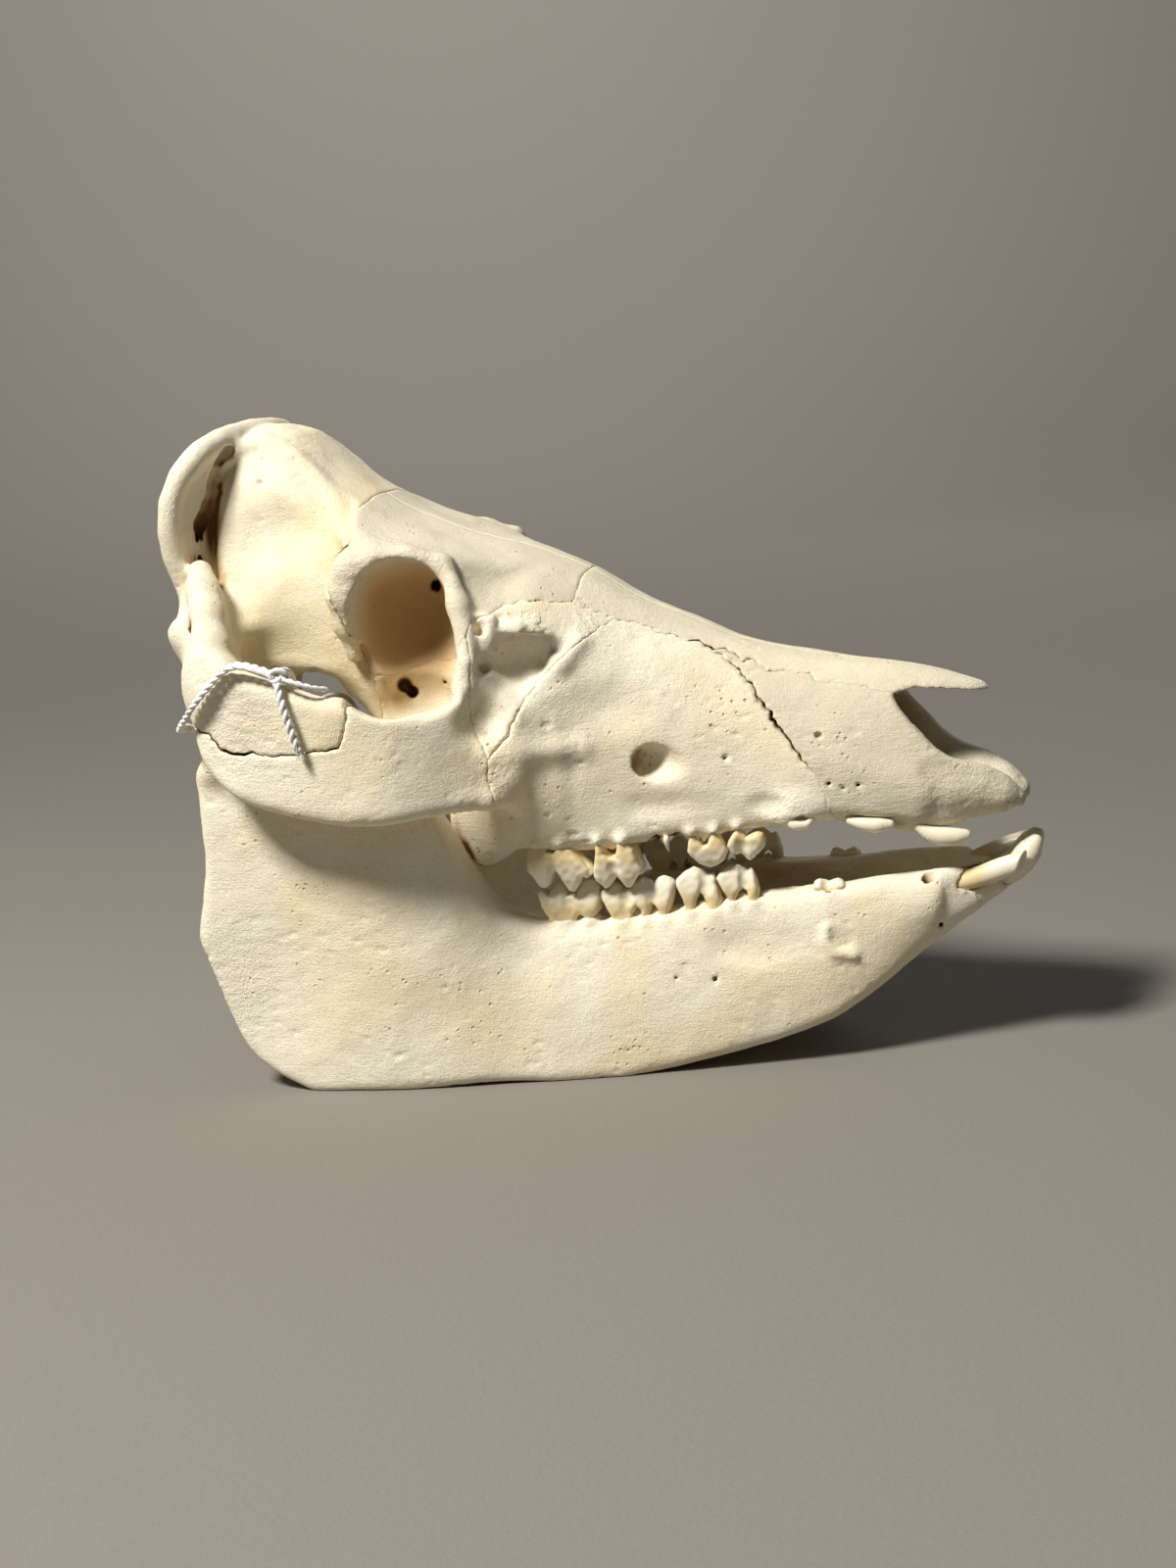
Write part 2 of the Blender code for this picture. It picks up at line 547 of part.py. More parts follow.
def crossed(code):
    """Whether one face of the cube has its inside corners on a diagonal."""
    for bit in (1, 2, 4):
        u, v = [b for b in (1, 2, 4) if b != bit]
        for base in (0, bit):
            ring = [(code >> c) & 1 for c in (base, base | u, base | u | v, base | v)]
            if ring in ([1, 0, 1, 0], [0, 1, 0, 1]):
                return True
    return False


def settle(values, step):
    """Nudge doubtful grid values so that the skin never touches itself."""
    bad = np.zeros(256, dtype=bool)
    for code in range(256):
        full = [c for c in range(8) if (code >> c) & 1]
        empty = [c for c in range(8) if not (code >> c) & 1]
        bad[code] = not joined(full) or not joined(empty) or crossed(code)
    for _ in range(40):
        inside = values < 0
        code = np.zeros([n - 1 for n in values.shape], dtype=np.uint8)
        for c in range(8):
            dx, dy, dz = c & 1, (c >> 1) & 1, (c >> 2) & 1
            nx, ny, nz = code.shape
            part = inside[dx:dx + nx, dy:dy + ny, dz:dz + nz]
            code |= (part.astype(np.uint8) << c).astype(np.uint8)
        cells = np.argwhere(bad[code])
        if len(cells) == 0:
            break
        for i, j, k in cells:
            block = values[i:i + 2, j:j + 2, k:k + 2]
            shut = np.where(block > 0, block, 1e9)
            spot = np.unravel_index(np.argmin(shut), shut.shape)
            block[spot] = -0.12 * step
    return values


def surface(values, low, step):
    """Closed skin of quads where the values change sign."""
    values = settle(values, step)
    inside = values < 0
    cells = [n - 1 for n in values.shape]
    total = cells[0] * cells[1] * cells[2]
    sums = np.zeros((3, total))
    hits = np.zeros(total)
    quads = []
    for axis in range(3):
        lo = [slice(None)] * 3
        hi = [slice(None)] * 3
        lo[axis] = slice(0, -1)
        hi[axis] = slice(1, None)
        a, b = values[tuple(lo)], values[tuple(hi)]
        ia, ib = inside[tuple(lo)], inside[tuple(hi)]
        idx = np.array(np.nonzero(ia != ib))
        va, vb = a[tuple(idx)], b[tuple(idx)]
        where = idx.astype(float)
        where[axis] += va / (va - vb)
        others = [n for n in range(3) if n != axis]
        ring = []
        for du, dv in ((0, 0), (1, 0), (1, 1), (0, 1)):
            c = idx.copy()
            c[others[0]] -= du
            c[others[1]] -= dv
            ring.append((c[0] * cells[1] + c[1]) * cells[2] + c[2])
        for ids in ring:
            hits += np.bincount(ids, minlength=total)
            for n in range(3):
                sums[n] += np.bincount(ids, weights=where[n], minlength=total)
        quad = np.array(ring)
        flip = ~ia[tuple(idx)]
        if axis == 1:
            flip = ~flip
        quad[:, flip] = quad[::-1, flip]
        quads.append(quad.T)
    used = np.nonzero(hits)[0]
    number = np.full(total, -1)
    number[used] = np.arange(len(used))
    points = (sums[:, used] / hits[used]).T * step + np.array(low)
    faces = number[np.concatenate(quads)]
    return points, faces


def clear_scene():
    for old in list(bpy.data.objects):
        bpy.data.objects.remove(old, do_unlink=True)


def link(name, mesh):
    obj = bpy.data.objects.new(name, mesh)
    bpy.context.scene.collection.objects.link(obj)
    return obj


def mesh_object(name, points, faces):
    """Object from points in millimetres, moved to the middle of the model."""
    mesh = bpy.data.meshes.new(name)
    moved = (np.asarray(points, dtype=float) - np.array(MIDDLE)) * MM
    mesh.from_pydata(moved.tolist(), [], [list(f) for f in faces])
    mesh.validate()
    return link(name, mesh)


def apply_modifier(obj, kind, **settings):
    """Put one modifier on an object and keep its result."""
    mod = obj.modifiers.new(kind, kind)
    for key, value in settings.items():
        setattr(mod, key, value)
    bpy.context.view_layer.update()
    graph = bpy.context.evaluated_depsgraph_get()
    done = bpy.data.meshes.new_from_object(obj.evaluated_get(graph))
    obj.modifiers.clear()
    old = obj.data
    obj.data = done
    bpy.data.meshes.remove(old)


def thin_out(obj, faces):
    """Bring an object down to a number of triangles."""
    now = sum(len(p.vertices) - 2 for p in obj.data.polygons)
    if now > faces:
        apply_modifier(obj, "DECIMATE", ratio=faces / now)


def islands(bm):
    """Groups of faces joined edge to edge, the largest first."""
    left = set(bm.faces)
    groups = []
    for seed in bm.faces:
        if seed not in left:
            continue
        left.remove(seed)
        group = [seed]
        stack = [seed]
        while stack:
            face = stack.pop()
            for edge in face.edges:
                for other in edge.link_faces:
                    if other in left:
                        left.remove(other)
                        group.append(other)
                        stack.append(other)
        groups.append(group)
    groups.sort(key=len, reverse=True)
    return groups


def flatten_feet(obj):
    """Bring what touches the table to exactly its level."""
    for v in obj.data.vertices:
        if v.co.z < 0.12 * MM:
            v.co.z = 0.0


def keep_largest(obj):
    bm = bmesh.new()
    bm.from_mesh(obj.data)
    spare = [f for g in islands(bm)[1:] for f in g]
    bmesh.ops.delete(bm, geom=spare, context="FACES")
    bm.to_mesh(obj.data)
    bm.free()


def sheet(line, across, plane):
    """Thin closed strip along a line, drawn out across the given span.

    The line is (x, z) pairs drawn out sideways, or (x, s) pairs drawn up.
    """
    pts = np.array(line, dtype=float)
    way = np.gradient(pts, axis=0)
    way /= np.linalg.norm(way, axis=1)[:, None]
    off = np.stack([-way[:, 1], way[:, 0]], axis=1) * CUT_GAP * 0.5
    verts = []
    for side in (pts + off, pts - off):
        for c in across:
            for a, b in side:
                verts.append((a, c, b) if plane == "side" else (a, b, c))
    n = len(pts)
    faces = []
    for i in range(n - 1):
        for base, turn in ((0, 1), (2 * n, -1)):
            q = (base + i, base + i + 1, base + n + i + 1, base + n + i)
            faces.append(q[::turn])
        for row, turn in ((0, -1), (n, 1)):
            q = (row + i, row + i + 1, 2 * n + row + i + 1, 2 * n + row + i)
            faces.append(q[::turn])
    faces.append((0, n, 3 * n, 2 * n))
    faces.append((n - 1, 3 * n - 1, 4 * n - 1, 2 * n - 1)[::1])
    faces[-1] = (n - 1, 2 * n + n - 1, 3 * n + n - 1, n + n - 1)
    return verts, faces


def cut_with(obj, verts, faces):
    """Take a thin strip out of an object."""
    cutter = mesh_object("cutter", verts, faces)
    bm = bmesh.new()
    bm.from_mesh(cutter.data)
    bmesh.ops.recalc_face_normals(bm, faces=bm.faces)
    bm.to_mesh(cutter.data)
    bm.free()
    cutter.display_type = "WIRE"
    cutter.hide_render = True
    apply_modifier(obj, "BOOLEAN", operation="DIFFERENCE", object=cutter, solver="EXACT")
    bpy.data.objects.remove(cutter, do_unlink=True)


def middle_wall(line):
    """Thin upright wall on the middle plane in front of a line of (x, z)."""
    outline = list(line) + [(200, line[-1][1]), (200, line[0][1])]
    n = len(outline)
    half = CUT_GAP * 0.5
    verts = [(x, -half, z) for x, z in outline] + [(x, half, z) for x, z in outline]
    faces = [tuple(range(n)), tuple(range(2 * n - 1, n - 1, -1))]
    faces += [(i, (i + 1) % n, n + (i + 1) % n, n + i) for i in range(n)]
    return verts, faces


def pieces(obj, names):
    """Split an object into its bones and give each the name it belongs to."""
    bm = bmesh.new()
    bm.from_mesh(obj.data)
    bm.faces.ensure_lookup_table()
    done = {}
    for group in islands(bm):
        verts = {v for f in group for v in f.verts}
        mid = sum((v.co for v in verts), Vector()) / len(verts) / MM + Vector(MIDDLE)
        best = min(names, key=lambda n: (Vector(names[n]) - mid).length)
        if best in done or len(group) < 40:
            continue
        order = {v: i for i, v in enumerate(sorted(verts, key=lambda v: v.index))}
        mesh = bpy.data.meshes.new(best)
        mesh.from_pydata([v.co[:] for v in order], [],
                         [[order[v] for v in f.verts] for f in group])
        done[best] = link(best, mesh)
    bm.free()
    bpy.data.objects.remove(obj, do_unlink=True)
    return done


def bone_tint(name, colour, roughness):
    mat = bpy.data.materials.new("bone_" + name)
    mat.use_nodes = True
    shader = mat.node_tree.nodes["Principled BSDF"]
    shader.inputs["Base Color"].default_value = (*colour, 1.0)
    shader.inputs["Roughness"].default_value = roughness
    return mat


def dress(obj, colour, roughness=0.6):
    obj.data.materials.clear()
    obj.data.materials.append(bone_tint(obj.name, colour, roughness))
    for poly in obj.data.polygons:
        poly.use_smooth = True


def both_sides(names):
    """Reference points for the right and the left bone of each pair."""
    out = {}
    for name, (x, s, z) in names.items():
        if s == 0:
            out[name] = (x, 0, z)
        else:
            out[name + "_right"] = (x, -s, z)
            out[name + "_left"] = (x, s, z)
    return out


def value_at(shape, points):
    """Distance values of a shape at points, read between the grid values."""
    q = (np.asarray(points) - np.array(shape.low)) / shape.step
    top = np.array(shape.f.shape) - 2
    i = np.clip(np.floor(q).astype(int), 0, top)
    t = q - i
    out = 0.0
    for c in range(8):
        d = np.array([c & 1, (c >> 1) & 1, (c >> 2) & 1])
        w = np.prod(np.where(d == 1, t, 1 - t), axis=1)
        out = out + w * shape.f[i[:, 0] + d[0], i[:, 1] + d[1], i[:, 2] + d[2]]
    return out


def lay_on(shapes, path, reach):
    """Push the points of a path out of the bones until they clear them."""
    p = np.array(path, dtype=float)
    for _ in range(60):
        def near(q):
            return np.minimum(value_at(shapes[0], q), value_at(shapes[1], q))
        d = near(p)
        grad = np.stack([near(p + e) - near(p - e) for e in np.eye(3) * 0.8], axis=1)
        grad /= np.maximum(np.linalg.norm(grad, axis=1), 1e-6)[:, None]
        p = p + grad * np.clip(reach - d, 0, 1.5)[:, None] * 0.5
        p[1:-1] = 0.85 * p[1:-1] + 0.075 * (p[2:] + p[:-2])
    return p


def refine(points, per):
    """More points along a path, spaced by the smooth line through it."""
    p = np.array(points, dtype=float)
    at = np.arange(len(p))
    t = np.linspace(0, len(p) - 1, (len(p) - 1) * per + 1)
    return np.stack([curve(np.stack([at, p[:, n]], axis=1), t) for n in range(3)], axis=1)


def tie_string(shapes):
    """Cotton tie round the cheek arch and the neck of the jaw, with its knot."""
    shape = Shape((-50, -72, 66), (24, -28, 122), STRING_STEP)
    shape.s = -shape.axes[1][None, :, None]
    loops = [lay_on(shapes, refine(path, 6), STRING_RADIUS + STRING_AIR)
             for path in (STRING_LOOP, STRING_TAIL, STRING_END)]
    for path in loops:
        for a, b in zip(path[:-1], path[1:]):
            r = STRING_RADIUS
            shape.add_rods(((a[0], -a[1], a[2], r), (b[0], -b[1], b[2], r)), 0.5)
    knot = loops[0][0]
    shape.add_ellipsoid((knot[0], -knot[1], knot[2]), (2.0, 1.6, 1.8), 0.6)
    points, quads = surface(shape.f, shape.low, STRING_STEP)
    obj = mesh_object("tie_string", points, quads)
    keep_largest(obj)
    thin_out(obj, STRING_FACES)
    dress(obj, (0.82, 0.82, 0.80), 0.9)
    return obj


def upper_skull(shape):
    """Upper skull, cut into its bones."""
    points, quads = surface(mirrored(shape), shape.low, GRID_STEP)
    obj = mesh_object("upper_skull", points, quads)
    keep_largest(obj)
    thin_out(obj, CRANIUM_FACES)
    for line, across in SIDE_CUTS:
        cut_with(obj, *sheet(line, across, "side"))
    for sign in (-1, 1):
        cut_with(obj, *sheet(CHEEK_TEMPLE_CUT, (sign * 46.5, sign * 75), "side"))
        flat = [(x, sign * s) for x, s in CHEEK_FRONT_CUT]
        cut_with(obj, *sheet(flat, (58, 113), "plan"))
    cut_with(obj, *middle_wall(CORONAL_CUT))
    bones = pieces(obj, both_sides(BONES))
    for name, bone in bones.items():
        dress(bone, BONE_COLOURS[name.split("_")[0]])
    return bones


def lower_jaw(shape):
    """Both halves of the lower jaw, parted at the chin."""
    points, quads = surface(mirrored(shape), shape.low, GRID_STEP)
    obj = mesh_object("lower_jaw", points, quads)
    keep_largest(obj)
    thin_out(obj, JAW_FACES)
    flatten_feet(obj)
    cut_with(obj, *middle_wall(((60, 80), (60, -10))))
    bones = pieces(obj, both_sides({"mandible": (50, 36, 40)}))
    for bone in bones.values():
        dress(bone, BONE_COLOURS["mandible"])
    return bones


def report(obj):
    bm = bmesh.new()
    bm.from_mesh(obj.data)
    bad = [e for e in bm.edges if len(e.link_faces) != 2]
    print(obj.name, "faces", len(bm.faces), "bad edges", len(bad),
          "ml", round(bm.calc_volume(signed=True) * 1e6, 1))
    bm.free()


def main():
    clear_scene()
    skull = cranium_shape(GRID_STEP)
    jaw = jaw_shape(GRID_STEP)
    tie_string((skull, jaw))
    upper_skull(skull)
    lower_jaw(jaw)
    for obj in bpy.data.objects:
        report(obj)


main()
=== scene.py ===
"""Dressed skull of a young domestic pig: bones, teeth and the cotton tie on its cheek arch.

Lengths in the shape functions are millimetres in the specimen's own frame: x runs to the
snout, s is the distance from the middle plane, z is the height above the table.
"""

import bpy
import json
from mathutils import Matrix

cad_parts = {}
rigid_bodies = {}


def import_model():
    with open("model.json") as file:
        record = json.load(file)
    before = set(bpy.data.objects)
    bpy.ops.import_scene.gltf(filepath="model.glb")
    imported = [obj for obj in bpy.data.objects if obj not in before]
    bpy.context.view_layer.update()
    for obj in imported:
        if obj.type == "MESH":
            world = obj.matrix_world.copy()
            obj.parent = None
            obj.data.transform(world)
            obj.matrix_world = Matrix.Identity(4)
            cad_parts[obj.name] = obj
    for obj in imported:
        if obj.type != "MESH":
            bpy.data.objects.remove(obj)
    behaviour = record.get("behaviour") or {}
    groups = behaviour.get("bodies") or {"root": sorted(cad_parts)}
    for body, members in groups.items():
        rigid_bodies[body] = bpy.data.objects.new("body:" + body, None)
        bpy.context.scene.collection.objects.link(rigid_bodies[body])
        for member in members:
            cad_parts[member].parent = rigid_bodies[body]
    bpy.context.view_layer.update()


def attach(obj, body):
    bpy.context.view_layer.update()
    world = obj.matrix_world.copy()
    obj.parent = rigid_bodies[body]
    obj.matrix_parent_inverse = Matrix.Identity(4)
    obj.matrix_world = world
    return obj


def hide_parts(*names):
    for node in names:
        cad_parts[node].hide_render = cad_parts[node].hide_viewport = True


bl_info = {
    "name": "Pig skull specimen",
    "version": (1, 0, 0),
    "blender": (4, 5, 0),
    "location": "View3D > Sidebar > Skull",
    "description": "Builds a museum skull of a young pig with its jaw, teeth and tie string",
    "category": "Object",
}

import json
from math import cos, pi, radians, sin, tau

import bpy
import numpy as np
from bpy.props import FloatProperty, FloatVectorProperty, PointerProperty
from mathutils import Matrix, Vector

for leftover in list(bpy.data.objects):
    bpy.data.objects.remove(leftover, do_unlink=True)

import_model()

MM = 0.001

TOOTH_STEP = 0.26

# how wide the edges of the bones are rounded at the seams, in mm, and how far neighbouring
# bones reach into each other there, as a share of the grid spacing, with more in the eye socket
SEAM_ROUNDING = 0.55
SEAM_OVERLAP = 0.42
SOCKET_OVERLAP = 0.5

# coarse grid of the open air around the bones, in mm, and the steps that it looks ahead
AIR_LOW = (-60.0, -84.0, -12.0)
AIR_HIGH = (200.0, 84.0, 192.0)
AIR_STEP = 3.0
AIR_AHEAD = 18

# how far over a point its own hollow and the wider surroundings are looked at, in mm, and
# the share of free directions from which the surroundings count as open
NEAR_REACHES = (2.0, 5.0)
WIDE_REACH = 4.0
OPEN_SHARE = 0.48

# unevenness of weathered bone: height, wavelength and seed of the swells, then the height of
# the grain, what a rough place adds to it, and the depth of the pits, in mm
SWELLS = ((0.13, 18.0, 3), (0.035, 8.0, 4))
GRAIN = 0.008
ROUGH_GRAIN = 0.05
PIT_DEPTH = 0.30

# how deep the roots of the cheek teeth reach, in tenths of the crown, and the width of a
# crown in mm from which its cusps stand in two rows
ROOT_DEPTH = 2.5
TWO_ROWS_FROM = 6

# tones that are mixed in: grey painted shade of the bones whose tops take less light, soiled
# cotton, and painted shade between the cotton's fibres
GREY_PAINTED_SHADE = (214, 207, 184)
SOILED_COTTON = (196, 190, 176)
COTTON_SHADE = (150, 148, 144)

# point of the table under the specimen that is the origin of the model
MIDDLE = (69.6, -1.35, 0)

# box of the skull with some air around it
BOX_LOW = (-48, -72, -7.8)
BOX_HIGH = (188, 0, 179.4)

# midline of the roof of the skull, front to back (x, z)
ROOF_LINE = (
    (-42, 167.5), (-28, 170.4), (-20, 170.8), (-12, 168.9), (-5, 163.6), (0, 158.9),
    (5, 154.5), (10, 150.6), (15, 147.2), (20, 144.5), (26, 141.8), (33, 139.2),
    (40, 137.2), (48, 135), (56, 131.8), (64, 128.3), (76, 120.8), (89, 114.3),
    (102, 108.7), (114, 105.1), (127, 102.7), (140, 100.6), (154, 98),
    (164, 94.6), (170, 91.5),
)

# sideways fall of the roof: height lost per squared distance
ROOF_CAMBER = (
    (-40, 0.0100), (-20, 0.0120), (-10, 0.0135), (0, 0.0120), (6, 0.0075),
    (11, 0.0045), (20, 0.0030), (28, 0.0020), (35, 0.0026), (41, 0.0048),
    (48, 0.0088), (56, 0.0117), (64, 0.0143), (76, 0.0182), (89, 0.0208),
    (114, 0.0244), (140, 0.0278), (170, 0.0330),
)

# flank of the skull: at each station six (height, half width), low to high
FLANK = (
    (-40, (104, 18), (112, 24), (125, 27), (140, 26), (155, 23), (166, 16)),
    (-28, (104, 24), (112, 31), (125, 32), (140, 29), (155, 25), (167, 18)),
    (-15, (104, 26), (112, 33), (125, 33), (140, 29), (155, 24), (166, 18)),
    (0, (101, 26), (110, 31.5), (122, 31.5), (134, 29.5), (146, 25.5), (155, 19)),
    (7, (95, 26), (106, 30), (118, 30.5), (130, 30), (141, 29), (149, 21)),
    (12.5, (88, 27), (100, 29.5), (112, 31), (121, 36), (134, 37.5), (142, 36)),
    (20, (80, 29), (92, 32), (104, 36), (120, 39.5), (134, 40), (140, 38.5)),
    (30, (66, 30), (84, 32), (97, 38), (118, 40.5), (131, 39.5), (137, 37.5)),
    (38, (55, 30), (78, 33), (96, 39), (114, 40), (126, 37), (133, 31.5)),
    (46, (57, 32), (72, 36.5), (88, 39.5), (106, 38), (121, 33.5), (130, 24)),
    (54, (58, 32.5), (72, 36.5), (86, 37), (104, 35.5), (120, 30), (132, 17)),
    (64, (58, 31.5), (72, 32.5), (86, 32), (100, 30.5), (114, 26), (127, 14.5)),
    (76, (58.5, 29), (70, 29), (82, 28.5), (96, 26.5), (108, 22), (120, 13)),
    (90, (60, 26), (70, 26), (82, 25), (92, 23.5), (103, 19), (113.5, 11.5)),
    (105, (60.5, 23.5), (68, 23.5), (78, 22.5), (88, 21), (98, 16.5), (107, 10.5)),
    (120, (62.5, 22), (69, 22), (77, 21.5), (85, 19.5), (94, 15), (103, 10)),
    (135, (61.5, 19), (67, 20), (74, 20), (82, 18), (90, 14.5), (100, 9.5)),
    (150, (59, 15.5), (64, 17.5), (70, 18), (77, 16), (84, 13.5), (98, 8.5)),
    (162, (61, 12.5), (65, 14.5), (69, 14.5), (73, 13), (78, 11), (95, 6)),
    (174, (64, 5), (66, 7), (68, 7.5), (70, 7), (72, 6), (90, 2)),
)

# underside of the skull on the midline (x, z)
BASE_LINE = (
    (-42, 104), (-10, 104), (0, 101), (8, 95), (14, 87), (20, 79), (26, 69),
    (30, 60), (36, 54), (42, 56), (48, 59), (60, 58), (90, 60), (112, 61.5),
    (122, 62.8), (127, 62.4), (136, 60), (147, 57.8), (154, 58.4), (162, 60.8),
    (175, 64),
)

# cheek arch plate: station, middle distance, half thickness, top, bottom
ARCH = (
    (-29, 51.5, 3.6, 116, 98), (-24, 54, 4.4, 119, 88),
    (-18, 56, 4.4, 117, 82), (-12, 57.5, 4, 112.8, 79),
    (0, 58.4, 3.7, 109, 75.4), (8, 58, 3.7, 105.9, 73.9),
    (16, 56.4, 4, 104.8, 73), (24, 53.8, 4.6, 102, 72.8),
    (31, 49.8, 5.2, 100.2, 73.1), (38, 44.8, 5.6, 101.8, 73.8),
    (45, 38.6, 6, 103.5, 74.7), (52, 33, 6, 98, 73.5),
    (60, 27.5, 5, 92, 75),
)

# rolled rim of the nape crest and the line where its sheet leaves the wall
CREST_RIM = (
    (-25, 0, 169.5), (-26, 12, 169.2), (-27, 22, 168), (-29, 30, 165.5),
    (-32.5, 35.5, 160.5), (-35.5, 37, 154), (-36.8, 36.5, 146.5),
    (-36.8, 35, 139.5), (-35.5, 33, 132), (-33, 31, 126),
)
CREST_ROOT = (
    (-22, 0, 166), (-23.5, 10, 165.5), (-25.5, 15, 164), (-27.5, 18, 161),
    (-29.5, 20, 157), (-30.5, 22, 152), (-31.5, 24, 146), (-31.5, 25, 139),
    (-31, 26, 132), (-30, 27, 127),
)

# rear edge of the temple wall, over the deep slot in front of the crest (x, s, z)
POCKET_EDGE = (
    (-24.6, 20.4, 165.6), (-26.6, 22.6, 164.2), (-27.2, 24.2, 160.6), (-28, 25, 155.6),
    (-28.6, 26.2, 152), (-30.2, 27.6, 149.2), (-31.6, 28.2, 147.6), (-32.6, 28.4, 145.4),
    (-33.4, 29.2, 142.8), (-33.3, 29, 140.2), (-32.8, 28.8, 137.4), (-31.6, 29.4, 134.4),
)

# crest between the temple and the roof of the skull (x, s, z)
TEMPLE_RIDGE = (
    (-25, 21.4, 164.6), (-22.6, 18.6, 166.4), (-18.1, 15.6, 167), (-14.2, 15.9, 165.6),
    (-8.9, 16, 162.6), (-4.8, 16.6, 158.8), (-0.4, 18.2, 153.7), (3.4, 21, 149.2),
    (6.5, 24.6, 145.2), (9, 31, 142.6),
)

# hollow of the nose: station, half width, middle height, half height
NOSE_HOLLOW = (
    (84, 1.5, 88, 3), (92, 6.5, 88, 9), (105, 9.5, 87, 12), (120, 11, 84.5, 12.5),
    (135, 11.5, 82.5, 12.5), (150, 10.5, 81.5, 12.3), (162, 8.5, 80.5, 11.5),
    (176, 7, 79, 12),
)

# open notch between the nasal tip and the incisive bone (x, z)
NOTCH_ROOF = ((136, 93.4), (142, 94.6), (147, 95.4), (155, 94.2), (164, 91.8), (171, 89.6))
NOTCH_FLOOR = (
    (136, 99), (141.8, 94.2), (145.3, 88.8), (150, 83.4), (154, 79),
    (158.4, 76.2), (163, 74.2), (167, 72.2), (171, 68.4), (174.5, 64.6),
)

# lower jaw: station, bottom, top, outer distance low and high, thickness low and high
JAW = (
    (-38, 40, 84, 49, 47.5, 6.5, 6), (-25, 10, 84, 49.8, 47.5, 7.5, 6),
    (-14, 2.4, 82, 50.4, 47, 8, 5.5), (-6, 0, 87, 50.6, 46.5, 8.5, 5.5),
    (4, 0, 93, 50.2, 46.5, 9, 6), (13, 0, 92, 49.6, 46, 9.5, 7),
    (22, 0.5, 84, 48.2, 45, 10.5, 8), (30, 0.9, 70.5, 47, 42.5, 11.5, 9.5),
    (36, 1.1, 53.8, 45.8, 39.5, 12.5, 11.5), (41, 1, 44.8, 44.6, 37, 13.5, 13),
    (46, 0.8, 41, 43.4, 34.6, 14, 14), (52, 0.4, 38.8, 42, 32.8, 14.5, 14),
    (60, 0, 38.4, 40, 31.2, 14.5, 13.5), (72, 0, 39, 37.2, 28.8, 14, 12.5),
    (80, 0.9, 40, 35, 27.2, 14, 12), (90, 2.6, 41.4, 32.4, 25.2, 13.5, 11.5),
    (108, 6.3, 43.8, 28, 22, 13, 11), (118, 9.2, 44.4, 25.6, 20.6, 13.5, 10.5),
    (126, 12.2, 44.9, 23.4, 19.4, 15.5, 9.5), (134, 16.8, 45.9, 20.4, 17.8, 24, 9),
    (146, 25.6, 47.6, 15.6, 15, 24, 9.5), (156, 32.6, 48.8, 11.4, 13.2, 24, 12),
    (162, 36.6, 48.2, 9.4, 11.8, 24, 16), (167, 40, 46.2, 8.2, 10.8, 24, 18),
    (173, 43.6, 45.8, 6, 8.5, 24, 18),
)

# rear edge of the jaw (z, x)
JAW_BACK = (
    (-4, -8), (0, -11.5), (3.3, -18), (10.3, -27.6), (19.7, -33.8), (30.4, -36.6),
    (39.8, -36.8), (51.7, -34.8), (65, -33.2), (78, -33.4), (91, -34.8), (99, -35),
)

# seams between the bones, seen from the side (x, z) or from above (x, s)
CORONAL_SEAM = (
    (8, 154), (12, 144), (9.5, 139.5), (4.8, 136.6), (6, 130), (7.8, 122), (12, 106), (13, 92),
    (12, 45),
)
FOREHEAD_SEAM = ((12, 106), (38, 109), (43, 120), (52, 124), (64, 120.5))
NASAL_SEAM = (
    (64, 120.5), (73, 116.5), (95, 108.2), (112, 100.8), (128, 97), (140, 94.4),
    (149, 91), (160, 84.5), (180, 80),
)
LACRIMAL_SEAM = (
    (73, 116.5), (69.5, 113.6), (65.2, 111.3), (60, 106.4), (55.8, 102.6), (52.5, 96.5),
    (50.4, 91.8), (46.2, 86.4), (40, 83), (34, 90), (34, 108),
)
INCISIVE_SEAM = ((95, 108.2), (104.4, 101.4), (113.7, 89.2), (123.6, 75.7), (130, 60), (131, 45))
CHEEK_TEMPLE_SEAM = (
    (-42, 100), (-25.4, 98.6), (-15.5, 92.6), (1, 91.7), (12.6, 93.2), (14.8, 100.4),
    (16.5, 125),
)
CHEEK_FRONT_SEAM = ((14, 41.4), (26, 41.2), (36, 41), (42, 42.2), (47, 46), (52, 56))

# places where the seams gape, seen from the side: (x, z, reach, width, least distance)
OPEN_SEAMS = (
    (104, 101.2, 5, 0.42, 0), (109, 95.5, 5, 0.62, 0), (114, 88.5, 5, 0.50, 0),
    (119, 81.5, 5, 0.34, 0), (95, 108, 6, 0.06, 0), (-26, 99, 6, 0.22, 44),
    (-15, 92.6, 9, 0.22, 44), (1, 91.8, 9, 0.20, 44), (12.6, 94, 5, 0.30, 44),
    (14.6, 99, 4, 0.24, 44), (6, 137.5, 4, 0.34, 28), (6.6, 127, 8, 0.22, 28),
    (50, 92, 4, 0.34, 30),
)

# cotton tie: points (x, y, z) along the loop from the knot, and its two ends
STRING_LOOP = (
    (-1.5, -61, 112), (-7, -61.5, 114), (-12.5, -61, 115.5), (-18, -60.5, 110.5),
    (-24, -59.5, 104.5), (-28.8, -57.5, 100), (-32.5, -52.5, 97.5), (-33.5, -47, 97),
    (-31, -40, 96), (-22, -37, 95), (-12, -39, 98), (-5, -44, 104), (-2, -50, 109),
    (-1, -56, 112.5), (-1.5, -61, 112),
)
STRING_TAIL = ((-1.5, -61, 111.5), (0, -64, 107), (2, -64.5, 100), (3.6, -64, 93.5))
STRING_END = ((-1.5, -61, 111.5), (3, -62, 110.5), (7.5, -61, 108.5), (10, -57, 107.5))

# distance of the path from the bone, half the distance of the two turns around the arch, and
# hairs in the frayed tail
STRING_REACH = 1.9
TURNS_APART = 0.72
FRAYED_HAIRS = 16

